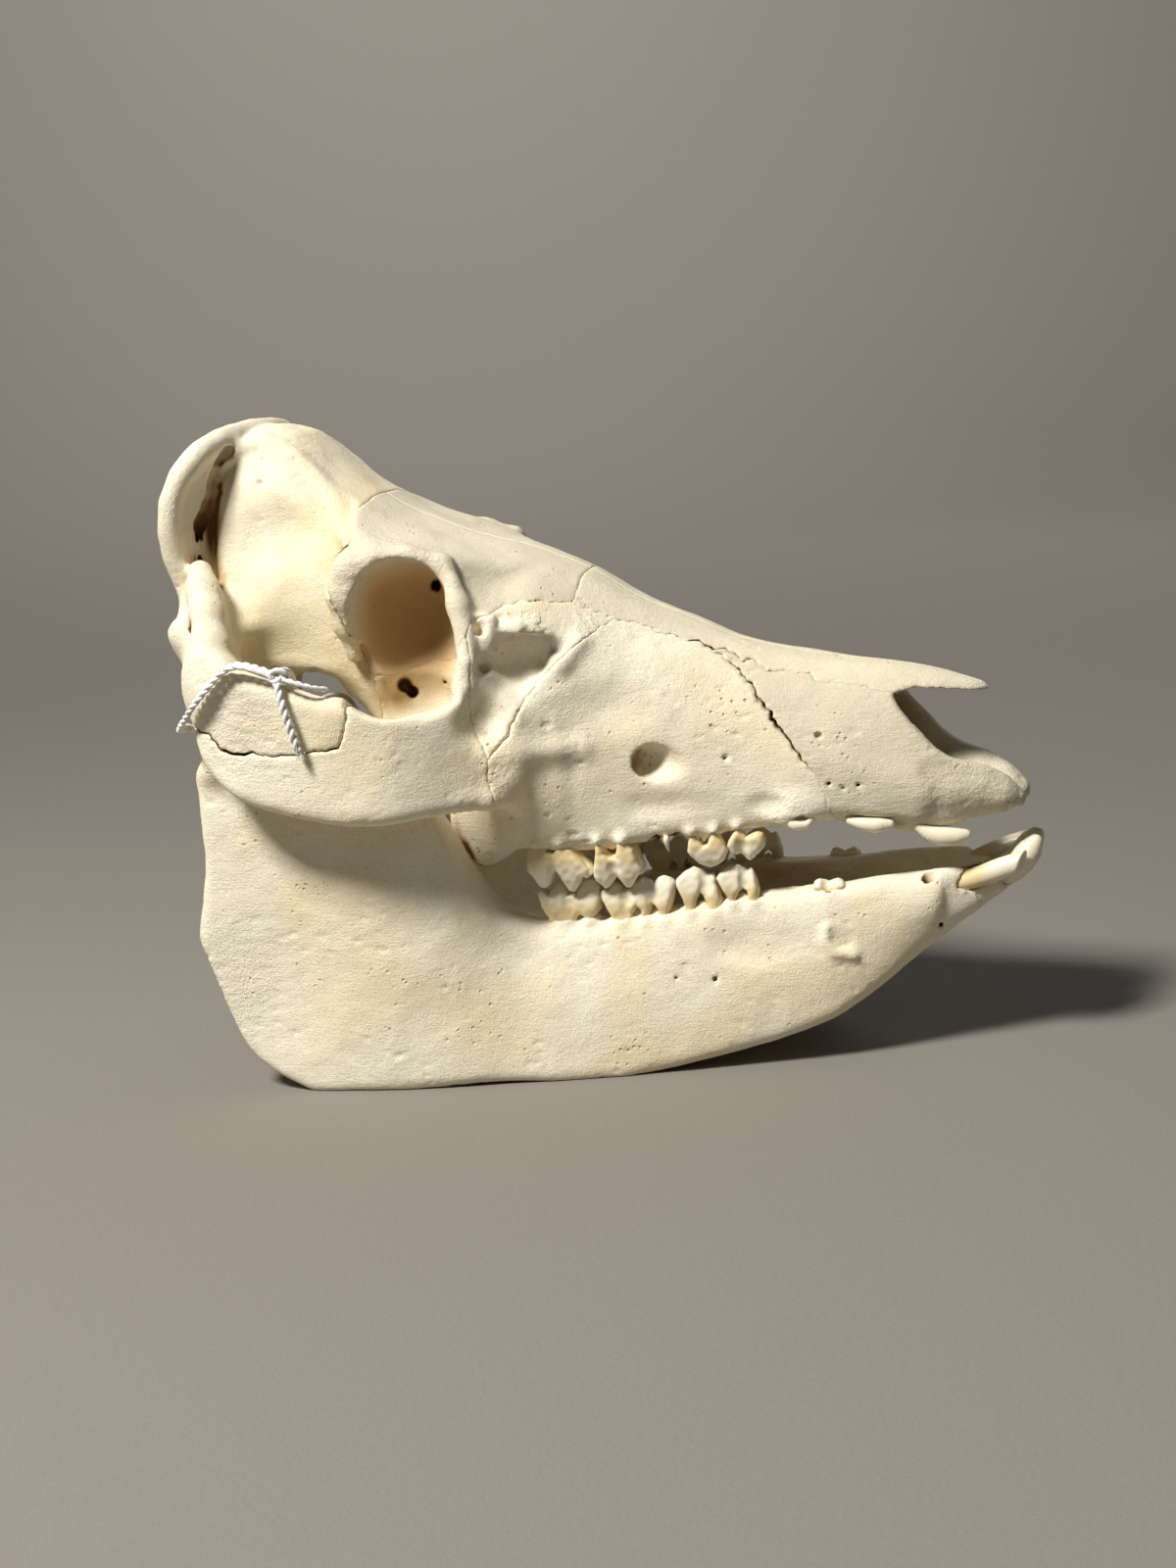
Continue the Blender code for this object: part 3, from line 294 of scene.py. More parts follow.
# each string is two yarns: distance from its middle, radius of a yarn, length of one twist
LOOP_YARN = (0.36, 0.46, 4.6)
TAIL_YARN = (0.48, 0.58, 4.8)
END_YARN = (0.34, 0.42, 4.4)

# outlines of the cheek teeth from the cheek side: (share of the length, height) with the
# neck at 0 and the tip at 10
LOWER_MOLAR = (
    (0.20, -5), (0.17, 0), (0.07, 2.9), (0.01, 6.9), (0.07, 7.8), (0.19, 6.2), (0.26, 8.2),
    (0.34, 9.7), (0.41, 8.4), (0.47, 5.8), (0.55, 6.2), (0.61, 5.8), (0.66, 7.8), (0.72, 9.6),
    (0.81, 10.2), (0.92, 9.7), (0.99, 7.8), (0.99, 4.7), (0.94, 1.6), (0.86, -0.3), (0.83, -5),
    (0.73, -5), (0.72, 0.2), (0.67, 0.9), (0.61, 0.2), (0.59, -5),
)
LOWER_MILK_4 = (
    (0.15, -5), (0.14, 0.2), (0.07, 3.3), (0, 6.7), (0.05, 7.6), (0.13, 7.8), (0.19, 9.3),
    (0.24, 9), (0.30, 7.1), (0.37, 7.2), (0.44, 7.8), (0.49, 9.1), (0.58, 10.3), (0.67, 9.7),
    (0.72, 8.4), (0.78, 9.9), (0.86, 10.4), (0.95, 9.8), (1, 8.3), (0.97, 5.4), (0.92, 1.7),
    (0.90, -5), (0.79, -5), (0.77, 1.5), (0.70, 3.4), (0.67, 2.5), (0.65, 0), (0.65, -5),
    (0.55, -5), (0.53, 1.7), (0.49, 2.8), (0.43, 0.8), (0.42, -5),
)
LOWER_MILK_3 = (
    (0.20, -5), (0.21, 0.2), (0.12, 3.3), (0.02, 5.8), (0.02, 7), (0.20, 8.8), (0.43, 10.1),
    (0.63, 9), (0.71, 7.9), (0.80, 8.4), (0.88, 7.9), (0.91, 5.8), (1, 1.7), (0.99, -5),
    (0.67, -5), (0.67, 0.8), (0.61, 2.9), (0.54, 3.8), (0.45, 1.7), (0.42, -5),
)
LOWER_MILK_2 = (
    (0.30, -5), (0.29, 0), (0.12, 3.5), (0.01, 6.5), (0.08, 7.9), (0.29, 9.5), (0.53, 10),
    (0.67, 9), (0.73, 8.4), (0.84, 8.9), (0.92, 7), (1, 3), (1, -5), (0.73, -5),
    (0.71, 2.3), (0.63, 3.1), (0.55, 2.5), (0.46, 0.5), (0.45, -5),
)
UPPER_MOLAR = (
    (0.08, -5), (0.04, 1.2), (0.01, 5), (0.10, 6.8), (0.15, 8.6), (0.23, 9.2), (0.33, 8.4),
    (0.38, 6.4), (0.44, 5.2), (0.51, 6.4), (0.56, 8.4), (0.62, 9.9), (0.70, 10.2), (0.78, 9),
    (0.82, 7.2), (0.86, 6.7), (0.93, 7.2), (1, 6.4), (0.98, 5), (0.86, 2.9), (0.74, 1),
    (0.66, 0), (0.63, -5), (0.51, -5), (0.52, 0), (0.44, 1.5), (0.34, 1), (0.30, -5),
)
UPPER_MILK_4 = (
    (0.08, -5), (0.07, 2), (0, 6.7), (0.03, 8.2), (0.10, 8.9), (0.19, 10), (0.29, 9.5),
    (0.36, 8.5), (0.45, 7.2), (0.53, 8.5), (0.62, 10), (0.72, 9.9), (0.83, 8), (0.88, 7.1),
    (0.99, 6.7), (0.98, 5.6), (0.91, 3.7), (0.83, 1.4), (0.73, 0), (0.71, -5), (0.54, -5),
    (0.52, 0.2), (0.48, 2.9), (0.34, 2.8), (0.24, 1.9), (0.22, -5),
)
UPPER_MILK_2 = (
    (0.06, -5), (0.07, 0.6), (0.01, 4.6), (0.07, 6), (0.27, 8.6), (0.53, 10.1), (0.67, 9.7),
    (0.78, 8.9), (0.91, 7.7), (1, 5.1), (0.91, 2.9), (0.83, 0.3), (0.81, -5), (0.58, -5),
    (0.60, 0.3), (0.50, 2.7), (0.40, 3), (0.31, 1.1), (0.26, -5),
)
UPPER_PREMOLAR = (
    (0.20, -5), (0.22, 0.3), (0.07, 2.4), (0, 4.5), (0.07, 6.7), (0.23, 7.8), (0.34, 7.6),
    (0.43, 9.4), (0.57, 10.1), (0.68, 8.8), (0.82, 7.6), (0.97, 5.8), (1, 3.6), (0.95, 1.5),
    (0.82, 0.8), (0.64, 1.4), (0.52, 2.2), (0.43, 0.3), (0.41, -5),
)
SMALL_TOOTH = (
    (0.1, -5), (0.05, 0), (0, 4), (0.08, 7.5), (0.22, 9.6), (0.38, 9.2), (0.5, 7), (0.62, 8.8),
    (0.78, 9.6), (0.93, 7.5), (1, 4), (0.95, 0), (0.9, -5),
)

# cheek teeth: name, first x, last x, outer distance at both, width, neck, tip, outline,
# shares of the grooves between the lobes, roots as (share, half)
LOWER_TEETH = (
    ("molar_1", 50.4, 67.2, 29.8, 28.4, 9.2, 40.2, 50, LOWER_MOLAR, (0.52,),
     ((0.39, 0.19), (0.79, 0.09))),
    ("milk_premolar_4", 67, 86.2, 28.6, 25.8, 7.6, 40, 49.8, LOWER_MILK_4, (0.37, 0.72),
     ((0.28, 0.13), (0.60, 0.06), (0.85, 0.07))),
    ("milk_premolar_3", 86.4, 98, 25.4, 23.6, 5, 41.4, 52.2, LOWER_MILK_3, (0.70,),
     ((0.31, 0.12), (0.83, 0.15))),
    ("milk_premolar_2", 96.9, 107.6, 23.8, 21.8, 4.6, 43, 52.2, LOWER_MILK_2, (0.72,),
     ((0.37, 0.08), (0.87, 0.13))),
    ("premolar_1", 121, 129.4, 19, 18.2, 3.8, 44, 47.4, SMALL_TOOTH, (0.5,),
     ((0.5, 0.2),)),
)
UPPER_TEETH = (
    ("molar_1", 49.4, 66, 33.4, 32.2, 9.6, 60.2, 47.8, UPPER_MOLAR, (0.44,),
     ((0.19, 0.11), (0.57, 0.07))),
    ("milk_premolar_4", 66.6, 79.4, 31.8, 30.2, 8.8, 60.2, 48, UPPER_MILK_4, (0.45,),
     ((0.15, 0.07), (0.62, 0.09))),
    ("milk_premolar_2", 90.4, 100.7, 26.2, 24.8, 4.8, 60.8, 52, UPPER_MILK_2, (),
     ((0.16, 0.10), (0.70, 0.12))),
    ("premolar_1", 100.6, 110.1, 24.6, 23, 4.8, 61.6, 53.2, UPPER_PREMOLAR, (0.42,),
     ((0.31, 0.11),)),
)

# teeth with one root, as chains of (x, s, z, radius) from the root to the tip
LOWER_PEGS = (
    ("incisor_1", ((152, 4.2, 39.6, 2.2), (164, 4.4, 42.6, 2.6), (171.4, 4.5, 46.2, 3.2),
                   (174.4, 4.5, 49.6, 3.4), (176.6, 4.2, 52.8, 2))),
    ("incisor_2", ((148, 8.4, 41, 2), (157, 9.6, 43.6, 2.3), (163.8, 10.8, 46, 2.7),
                   (168.6, 11.2, 47.8, 2.8), (175, 11, 49.8, 2.7))),
)
UPPER_PEGS = (
    ("incisor_2", ((148.6, 15.2, 59.8, 1.2), (151.6, 15, 58, 2), (154.6, 14.6, 57.2, 2.4),
                   (157.6, 14.1, 57, 2.2), (160, 13.6, 57.2, 1.5))),
    ("incisor_3", ((131.6, 18.6, 62.6, 0.9), (134.6, 18.6, 61.9, 1.6), (138.2, 18.2, 61.3, 2),
                   (141.4, 17.6, 61.3, 1.4))),
    ("canine", ((121.9, 21, 66.6, 0.8), (122.3, 21.8, 64.4, 0.9), (120.8, 22.4, 62.8, 1.2),
                (118.4, 22.4, 62.8, 1.5), (116.8, 22, 64.6, 1.2))),
)


def lin(r, g, b):
    """Linear colour from the usual 0 to 255 scale."""
    out = []
    for v in (r, g, b):
        c = v / 255
        out.append(c / 12.92 if c <= 0.04045 else ((c + 0.055) / 1.055) ** 2.4)
    return tuple(out)


def curve(knots, at, column=1):
    """Smooth line through the knots, flat beyond both ends."""
    table = np.array([[k[0], k[column]] for k in knots], dtype=float)
    xs, ys = table[:, 0], table[:, 1]
    step = np.diff(xs)
    slope = np.diff(ys) / step
    tangent = np.zeros_like(xs)
    same = slope[:-1] * slope[1:] > 0
    mean = 2 * slope[:-1] * slope[1:] / np.where(same, slope[:-1] + slope[1:], 1)
    tangent[1:-1] = np.where(same, mean, 0.0)
    v = np.clip(at, xs[0], xs[-1])
    i = np.clip(np.searchsorted(xs, v) - 1, 0, len(xs) - 2)
    t = (v - xs[i]) / step[i]
    a = (2 * t ** 3 - 3 * t ** 2 + 1) * ys[i] + (3 * t ** 2 - 2 * t ** 3) * ys[i + 1]
    b = (t ** 3 - 2 * t ** 2 + t) * tangent[i] + (t ** 3 - t ** 2) * tangent[i + 1]
    return (a + b * step[i]).astype(np.float32)


def smin(a, b, k):
    """Blend two shapes over a width k, keeping both."""
    h = np.clip(0.5 + 0.5 * (b - a) / k, 0, 1)
    return b + (a - b) * h - k * h * (1 - h)


def smax(a, b, k):
    """Keep what two shapes have in common, the edge rounded over a width k."""
    return -smin(-a, -b, k)


def ellipsoid(p, centre, radii):
    """Signed distance, close to the surface, of an ellipsoid."""
    q = [(a - c) / r for a, c, r in zip(p, centre, radii)]
    k0 = np.sqrt(q[0] ** 2 + q[1] ** 2 + q[2] ** 2) + 1e-6
    k1 = np.sqrt((q[0] / radii[0]) ** 2 + (q[1] / radii[1]) ** 2 + (q[2] / radii[2]) ** 2)
    return k0 * (k0 - 1) / (k1 + 1e-6)


def rod(p, a, b, ra, rb):
    """Signed distance of a rod with round ends whose radius runs from ra to rb."""
    d = [v - u for u, v in zip(a, b)]
    n = sum(v * v for v in d)
    t = np.clip(sum((c - u) * v for c, u, v in zip(p, a, d)) / n, 0, 1)
    r2 = sum((c - u - t * v) ** 2 for c, u, v in zip(p, a, d))
    return np.sqrt(r2) - (ra + (rb - ra) * t)


def chain(p, points):
    """Signed distance of rods joined through points (x, s, z, radius)."""
    return np.minimum.reduce([rod(p, a[:3], b[:3], a[3], b[3])
                              for a, b in zip(points[:-1], points[1:])])


def along(knots, count):
    """Points at an even spacing in knots on the straight lines through them."""
    at = np.linspace(0, len(knots) - 1, count)
    return list(zip(*[np.interp(at, np.arange(len(knots)), [p[n] for p in knots])
                      for n in range(3)]))


def ripple(points, wave, seed, count=12, stretch=(1, 1, 1)):
    """Gentle unevenness of about unit size with the given wavelength at some points."""
    rng = np.random.default_rng(seed)
    out = 0.0
    for _ in range(count):
        way = rng.normal(size=3)
        way *= tau / wave * rng.uniform(0.7, 1.4) / np.linalg.norm(way)
        way = way / np.array(stretch)
        out = out + np.sin(points @ way + rng.uniform(0, tau))
    return out / (count / 2) ** 0.5


class Shape:
    """A solid held as signed distances on a regular grid."""

    def __init__(self, low, high, step):
        self.step = step
        count = [int(round((b - a) / step)) + 1 for a, b in zip(low, high)]
        self.low = (low[0], high[1] - step * (count[1] - 1), low[2])
        self.axes = [(a + step * np.arange(n)).astype(np.float32)
                     for a, n in zip(self.low, count)]
        self.x = self.axes[0][:, None, None]
        self.s = np.abs(self.axes[1])[None, :, None]
        self.z = self.axes[2][None, None, :]
        self.f = np.full(count, 40.0, dtype=np.float32)

    def window(self, points, reach):
        """Part of the grid within reach of some points given as (x, s, z)."""
        cut = []
        for n in range(3):
            v = [p[n] for p in points]
            lo, hi = min(v) - reach, max(v) + reach
            axis = self.axes[n] if n != 1 else self.s[0, :, 0]
            hit = np.nonzero((axis >= lo) & (axis <= hi))[0]
            if len(hit) == 0:
                return None, None
            cut.append(slice(hit[0], hit[-1] + 1))
        p = (self.x[cut[0]], self.s[:, cut[1]], self.z[:, :, cut[2]])
        return tuple(cut), p

    def add(self, d, k, cut=slice(None)):
        """Blend distances of a form into the solid over a width k."""
        self.f[cut] = smin(self.f[cut], d, k)

    def carve(self, d, k, cut=slice(None)):
        """Take a form out of the solid, the edge rounded over a width k."""
        self.f[cut] = smax(self.f[cut], -d, k)

    def change(self, points, radius, k, form, sizes, carve):
        """Add or carve a form that lies around some points, in that part of the grid only."""
        cut, p = self.window(points, radius + k + (3 if carve else 5))
        if cut:
            blend = self.carve if carve else self.add
            blend(form(p, *sizes), k, cut)

    def add_ellipsoid(self, centre, radii, k, carve=False):
        self.change([centre], max(radii), k, ellipsoid, (centre, radii), carve)

    def carve_ellipsoid(self, centre, radii, k):
        self.add_ellipsoid(centre, radii, k, carve=True)

    def add_rods(self, points, k, carve=False):
        """Rods through points (x, s, z, radius), blended in one after the other."""
        for a, b in zip(points[:-1], points[1:]):
            self.change([a, b], max(a[3], b[3]), k, rod, (a[:3], b[:3], a[3], b[3]), carve)

    def carve_rods(self, points, k):
        self.add_rods(points, k, carve=True)

    def add_chain(self, points, k):
        """Rods through points (x, s, z, radius), joined without swellings and then blended in."""
        self.change(points, max(q[3] for q in points), k, chain, (points,), False)


def flank_width(x, z):
    """Half width of the skull over a sheet of x and z values."""
    levels = []
    for n in range(6):
        zs = curve([(row[0], row[n + 1][0]) for row in FLANK], x)
        ws = curve([(row[0], row[n + 1][1]) for row in FLANK], x)
        levels.append((zs, ws))
    out = np.empty((len(x), len(z)), dtype=np.float32)
    for i in range(len(x)):
        knots = [(lev[0][i], lev[1][i]) for lev in levels]
        out[i] = curve(knots, z)
    return out


def skull_body(shape):
    """Braincase, forehead and snout as one lofted body."""
    x, s, z = shape.x, shape.s, shape.z
    width = flank_width(shape.axes[0], shape.axes[2])
    side = (s - width[:, None, :]) * 0.92
    top = curve(ROOF_LINE, x) - curve(ROOF_CAMBER, x) * s ** 2
    body = smax(side, (z - top) * 0.88, 5)
    body = smax(body, (curve(BASE_LINE, x) - z) * 0.8, 5)
    back = -34 + 0.006 * s ** 2 - x
    front = x - (175 - 0.09 * np.minimum(s, 16) ** 2)
    body = smax(body, back, 5)
    body = smax(body, front, 4)
    shape.add(body, 0.5)


def plate(shape, table, k):
    """Upright plate given by station, middle, half thickness, top, bottom."""
    reach = [(table[0][0], 20, 60), (table[-1][0], 70, 130)]
    cut, (x, s, z) = shape.window(reach, 9)
    middle, half, top, low = [curve(table, x, n) for n in (1, 2, 3, 4)]
    lean = 0.06 * (z - 0.5 * (top + low))
    flat = np.abs(s - middle + lean) - half
    edge = smax((z - top), (low - z), 3)
    d = smax(flat, edge, 4.5)
    ends = smax(table[0][0] - x, x - table[-1][0], 2)
    shape.add(smax(d, ends, 4), k, cut)


def cheek_arch(shape):
    """Arch of the cheek with its root on the braincase and the ear ridge."""
    plate(shape, ARCH, 5)
    shape.add_rods(((-24, 28, 118, 9), (-24.5, 41, 109.6, 8.6), (-22, 51, 108, 7.2)), 6)
    shape.add_rods(((-23.5, 52.5, 112, 4.6), (-23, 49.5, 119, 4.3), (-25, 45, 126, 4),
                    (-27.6, 40.5, 131.6, 3.7), (-29.6, 36.4, 135.6, 3.1)), 3)
    shape.add_rods(((-30, 34, 124, 6.5), (-27, 40, 118, 6.5)), 5)
    shape.add_rods(((-30, 34, 122, 5.5), (-33, 40, 119.5, 3.2), (-34, 43, 121, 1.8)), 6)


def nape_crest(shape):
    """Sheet and rolled rim of the crest at the back of the head."""
    root, rim = along(CREST_ROOT, 60), along(CREST_RIM, 60)
    for a, b in zip(root, rim):
        shape.add_rods(((*a, 2.2), (*b, 1.5)), 1.2)
    for a, b in zip(rim[:-1], rim[1:]):
        shape.add_rods(((*a, 2.5), (*b, 2.5)), 1.2)


def back_of_head(shape):
    """Condyles, great opening, jugular processes and the nape hollows."""
    shape.carve_ellipsoid((-44.6, 12.5, 150), (12, 11, 17), 4)
    shape.add_ellipsoid((-33, 11.5, 107), (7.5, 6.5, 9.5), 3)
    shape.carve_ellipsoid((-36, 0, 114), (15, 8.5, 8.5), 2.5)
    shape.add_rods(((-32, 23, 108, 5), (-34, 25, 92, 2.5), (-31.5, 24, 67, 1.8)), 4)
    shape.add_rods(((-30, 19, 92, 3), (-21, 18, 83.5, 4.2), (-9, 17, 81, 3)), 3)


def eye_sockets(shape):
    """Brow ridge, the socket itself and the openings in it."""
    shape.add_rods(((10.5, 34.5, 119, 2.8), (9.5, 35, 128, 4), (11, 34.5, 136, 4)), 4)
    shape.carve_ellipsoid((25.6, 47, 119.4), (14.4, 28, 18.6), 1.5)
    shape.carve_ellipsoid((33, 45, 110), (8.8, 21, 10), 3)
    shape.carve_rods(((18, 39, 112, 6), (14, 40, 100, 8), (10, 41, 86, 8)), 3)
    shape.carve_ellipsoid((24.5, 35, 99), (11, 13, 12), 4)
    shape.carve_rods(((24, 39, 104, 9.5), (22, 39, 91, 8.5)), 3)


def cheek_hollow(shape):
    """Space between the arch and the braincase, for the jaw muscle."""
    shape.carve_rods(((-8, 44, 128, 8.5), (-4, 44.5, 100, 9), (4, 43, 84, 9)), 3)
    shape.carve_rods(((8, 43, 100, 8.5), (12, 42, 84, 8.5), (24, 40, 80, 6.5),
                      (33, 38.5, 79, 4)), 3)


def face_details(shape):
    """Hollow before the eye, infraorbital opening, small bumps."""
    shape.carve_ellipsoid((57, 46.5, 107), (10, 14.5, 8.5), 4)
    shape.add_ellipsoid((47, 38.5, 80), (6, 5.5, 5), 4)
    shape.add_ellipsoid((118, 20, 66.5), (6, 4, 4), 4)


def nose_hollow(shape):
    """Cavity of the nose, its side notch and the split between the front bones."""
    cut, (x, s, z) = shape.window([(82, 0, 55), (190, 16, 110)], 0)
    half, mid, tall = [curve(NOSE_HOLLOW, x, n) for n in (1, 2, 3)]
    r = ((s / half) ** 3 + (np.abs(z - mid) / tall) ** 3) ** (1 / 3)
    hollow = smax((r - 1) * half, 84 - x, 2)
    shape.carve(hollow, 2, cut)
    cut, (x, s, z) = shape.window([(136, 0, 50), (190, 40, 110)], 0)
    roof = curve(NOTCH_ROOF, x) - 0.02 * s ** 2
    floor = curve(NOTCH_FLOOR, x)
    notch = smax(z - roof, floor - z, 0.6)
    notch = smax(notch, 139 - x, 1)
    shape.carve(notch * 0.8, 1.2, cut)
    shape.add_rods(((142, 14, 68, 2.2), (150, 11.8, 68.4, 4), (157, 9.6, 68.8, 4.8),
                    (163, 7.8, 68, 4.6), (168.5, 6.6, 66, 3.8), (172.4, 5.6, 64.4, 2.4)), 4)
    shape.carve(smax(smax(s - 1.1, 160 - x, 1), z - 90, 1), 0.8, cut)


def palate(shape):
    """Vault between the tooth rows and the hind opening of the nose."""
    cut, (x, s, z) = shape.window([(-48, 0, 30), (178, 40, 80)], 0)
    half = curve(((40, 16.5), (60, 17.5), (90, 14.5), (115, 12.5), (135, 12),
                  (150, 9), (165, 6), (172, 1.5)), x)
    r = ((s / half) ** 3 + (np.abs(z - 56) / 10.5) ** 3) ** (1 / 3)
    vault = smax((r - 1) * 7, x - 168, 2)
    shape.carve(vault, 3, cut)
    shape.carve_rods(((-6, 0, 82, 10.5), (20, 0, 80, 9.5), (38, 0, 76, 7)), 4)
    shape.carve_rods(((-4, 0, 66, 13), (22, 0, 64, 14), (36, 0, 62, 13)), 4)
    shape.carve_ellipsoid((14, 29, 70), (15, 11, 17), 3)
    shape.add_rods(((16, 13, 88, 4), (19, 13, 70, 2.6), (17, 14, 62, 2.2)), 3)


def fine_temple(shape):
    """Temple with its ridge, ragged slot before the crest, ear opening and jaw joint surface."""
    shape.carve_ellipsoid((-9, 51, 147), (23, 26, 17), 4)
    shape.add_chain([(x, s - 0.9, z - 0.8, 1.1) for x, s, z in TEMPLE_RIDGE], 4)
    for i, (x, s, z) in enumerate(along(POCKET_EDGE, 26)):
        wide = 1.3 - 0.02 * i + 0.12 * (i * 7 % 4)
        x = x - 0.7 + 0.24 * (i * 5 % 3)
        shape.carve_rods(((x, s + 1.6, z, wide), (x + 0.7, s + 0.1, z - 0.2, wide - 0.2)), 0.8)
    shape.carve_rods(((-29.5, 47.5, 124, 1.4), (-25.5, 40, 117, 1.2)), 1)
    shape.carve_rods(((-15.9, 26, 156.9, 0.8), (-16.2, 22.5, 156.5, 0.6)), 1.2)
    shape.carve_ellipsoid((-11, 38.5, 111), (10, 7, 9), 5)
    for x, z, r in ((-13, 103, 3), (-9, 103.8, 3.6), (-4.6, 103.8, 4),
                    (-0.8, 102.8, 3.2)):
        shape.carve_rods(((x + 2.1, 36, z + 1.8, r), (x - 5.9, 6, z - 4.8, r + 1)), 0.8)
    shape.add_ellipsoid((-25.5, 42, 100), (7.5, 8.5, 4.8), 3)


def fine_socket(shape):
    """Deep inside of the eye socket, its openings and the two tear openings before it."""
    shape.add_rods(((8.6, 33, 112, 1.6), (7, 34.6, 120, 2), (7.4, 35.4, 128, 2.4),
                    (10.4, 36.2, 134.6, 2.4), (17.5, 36.6, 137, 2.2), (26, 35.4, 136.4, 1.8),
                    (35, 33.4, 134.4, 1.6)), 3)
    shape.carve_ellipsoid((26, 40, 116), (14.6, 18.5, 20), 1)
    shape.carve_ellipsoid((24.4, 47, 118), (15.8, 28, 20), 0.8)
    shape.add_chain(((39.6, 41, 104.5, 2.6), (41.6, 41.2, 111, 2.5), (41.2, 39.6, 118, 2.5),
                     (39.2, 37.4, 124, 2.3)), 4.5)
    shape.add_chain(((46.4, 36.4, 119.6, 2.2), (46.8, 36.2, 113, 2.2),
                     (46.2, 37.2, 107.4, 2)), 4)
    shape.carve_rods(((29.4, 25, 128.4, 1.6), (27.2, 15, 126.4, 1.5)), 0.4)
    shape.carve_rods(((29.8, 26, 103.2, 0.55), (28.4, 14, 101, 0.55)), 0.3)
    shape.carve_rods(((21, 32, 104.4, 1.8), (16.6, 19, 101.4, 1.6)), 1.2)
    shape.carve_rods(((22.8, 32, 102.4, 1.5), (18.8, 19, 99.4, 1.3)), 1.2)
    shape.add_chain(((35, 33.6, 134.2, 1.7), (38, 35.8, 129.6, 2),
                     (39.4, 37.4, 124.4, 2.2)), 3)
    shape.carve_rods(((44.9, 39.6, 122.6, 1.2), (44.6, 38.6, 118.6, 1.4),
                      (43.8, 36.8, 117.2, 1.1)), 1.4)
    shape.carve_rods(((46, 42, 113, 1.5), (45.4, 39.8, 109.6, 1.4),
                      (44.4, 37.2, 108.2, 1.1)), 1.4)


def fine_face(shape):
    """Hollow before the eye with its fringed ledge, cheek ridge and small openings."""
    shape.carve_ellipsoid((56.8, 41, 108.6), (10.6, 13.6, 8.8), 3.2)
    shape.carve_ellipsoid((63, 36, 111), (5.5, 9.6, 4), 1.5)
    shape.carve_ellipsoid((47, 47.5, 97.5), (6.8, 9.4, 8.4), 3)
    shape.add_rods(((49, 35.2, 117.4, 1.4), (53.5, 34.6, 117.6, 1.8),
                    (58.5, 32, 116, 1.2)), 1.2)
    for n in range(9):
        x = 49.2 + 1.15 * n
        s = 34.4 - 0.30 * n
        rise = 0.8 + 0.7 * (n * 5 % 3)
        shape.add_rods(((x, s, 118.2 + 0.03 * n, 0.75),
                        (x + 0.3, s - 0.6, 119.6 + rise, 0.4)), 0.6)
    shape.add_chain(((45.5, 42.6, 86, 1), (55, 36.4, 86.4, 0.8), (66, 30.2, 86, 0.4)), 6)
    shape.add_rods(((55.5, 31.6, 100.6, 1.2), (61.5, 28.6, 107, 1.2),
                    (66.5, 25, 112, 0.9)), 4)
    shape.carve_rods(((95.4, 29.8, 79.8, 4), (86.6, 28.8, 80.4, 5.2), (82, 25.2, 80.8, 4.2),
                      (77.6, 23.2, 81.4, 2.8)), 0.8)
    shape.carve_rods(((103.9, 24.6, 81.8, 0.7), (102.6, 23.6, 80.4, 0.7),
                      (99.8, 20.6, 80.4, 0.7)), 0.4)
    shape.carve_rods(((41.9, 28.7, 136.8, 0.5), (45.4, 27.4, 135.5, 0.6),
                      (48.8, 25.9, 134, 0.45)), 0.3)
    for spot in ((126.5, 22.4, 84.6, 0.8), (129.4, 22.6, 87.4, 0.5), (131.5, 22.4, 82.6, 0.4),
                 (128.3, 23.4, 72.6, 0.6), (131.8, 22.8, 71.4, 0.5), (135.5, 22.2, 71.8, 0.6),
                 (122, 23.4, 71, 0.4), (46.6, 45.2, 91.6, 0.5)):
        x, s, z, r = spot
        shape.carve_rods(((x, s, z, r), (x - 1.8, s - 4.6, z + 0.3, r)), 0.5)
    shape.add_rods(((38.5, 46.8, 77.4, 2.6), (44.5, 43.6, 76.2, 2.4), (48.8, 39.6, 75.6, 1.8),
                    (49.6, 37.2, 71.6, 1.3)), 2.2)
    shape.carve_ellipsoid((92.5, 30.5, 69.5), (15, 4.4, 3.6), 3)
    shape.carve_ellipsoid((80, 34.5, 97), (12, 8.5, 8.5), 5)
    shape.carve_ellipsoid((111.5, 26.4, 68.5), (5.5, 4.4, 3.2), 1.8)


def fine_sockets_of_teeth(shape):
    """Empty sockets of the lost teeth and the slots of the front teeth."""
    for x, s, r in ((82.2, 24.2, 1.9), (84.8, 22, 1.8), (87.6, 23, 1.9)):
        shape.carve_rods(((x, s, 55, r * 1.1), (x, s, 61.5, r), (x, s - 0.4, 65, r * 0.6)), 0.7)
    shape.add_rods(((85.6, 26.2, 60.5, 0.9), (85.9, 25.6, 57, 0.45)), 0.6)
    shape.carve_rods(((119.6, 22.4, 62.6, 2.5), (120.8, 19.6, 66, 2.2)), 0.6)
    shape.carve_rods(((123.6, 21.6, 63.2, 1.3), (130.6, 19.6, 62.8, 1.2)), 0.8)
    shape.carve_rods(((132, 19.4, 62.8, 1.9), (138, 19.2, 61.4, 2.3),
                      (144, 17.8, 61.4, 2)), 0.6)
    shape.carve_rods(((150, 15.4, 57.6, 1.5), (160.6, 13.6, 56.6, 1.8)), 0.9)
    shape.carve_rods(((163.6, 5.6, 60.2, 2.3), (171.4, 5, 61.8, 2.6)), 0.9)


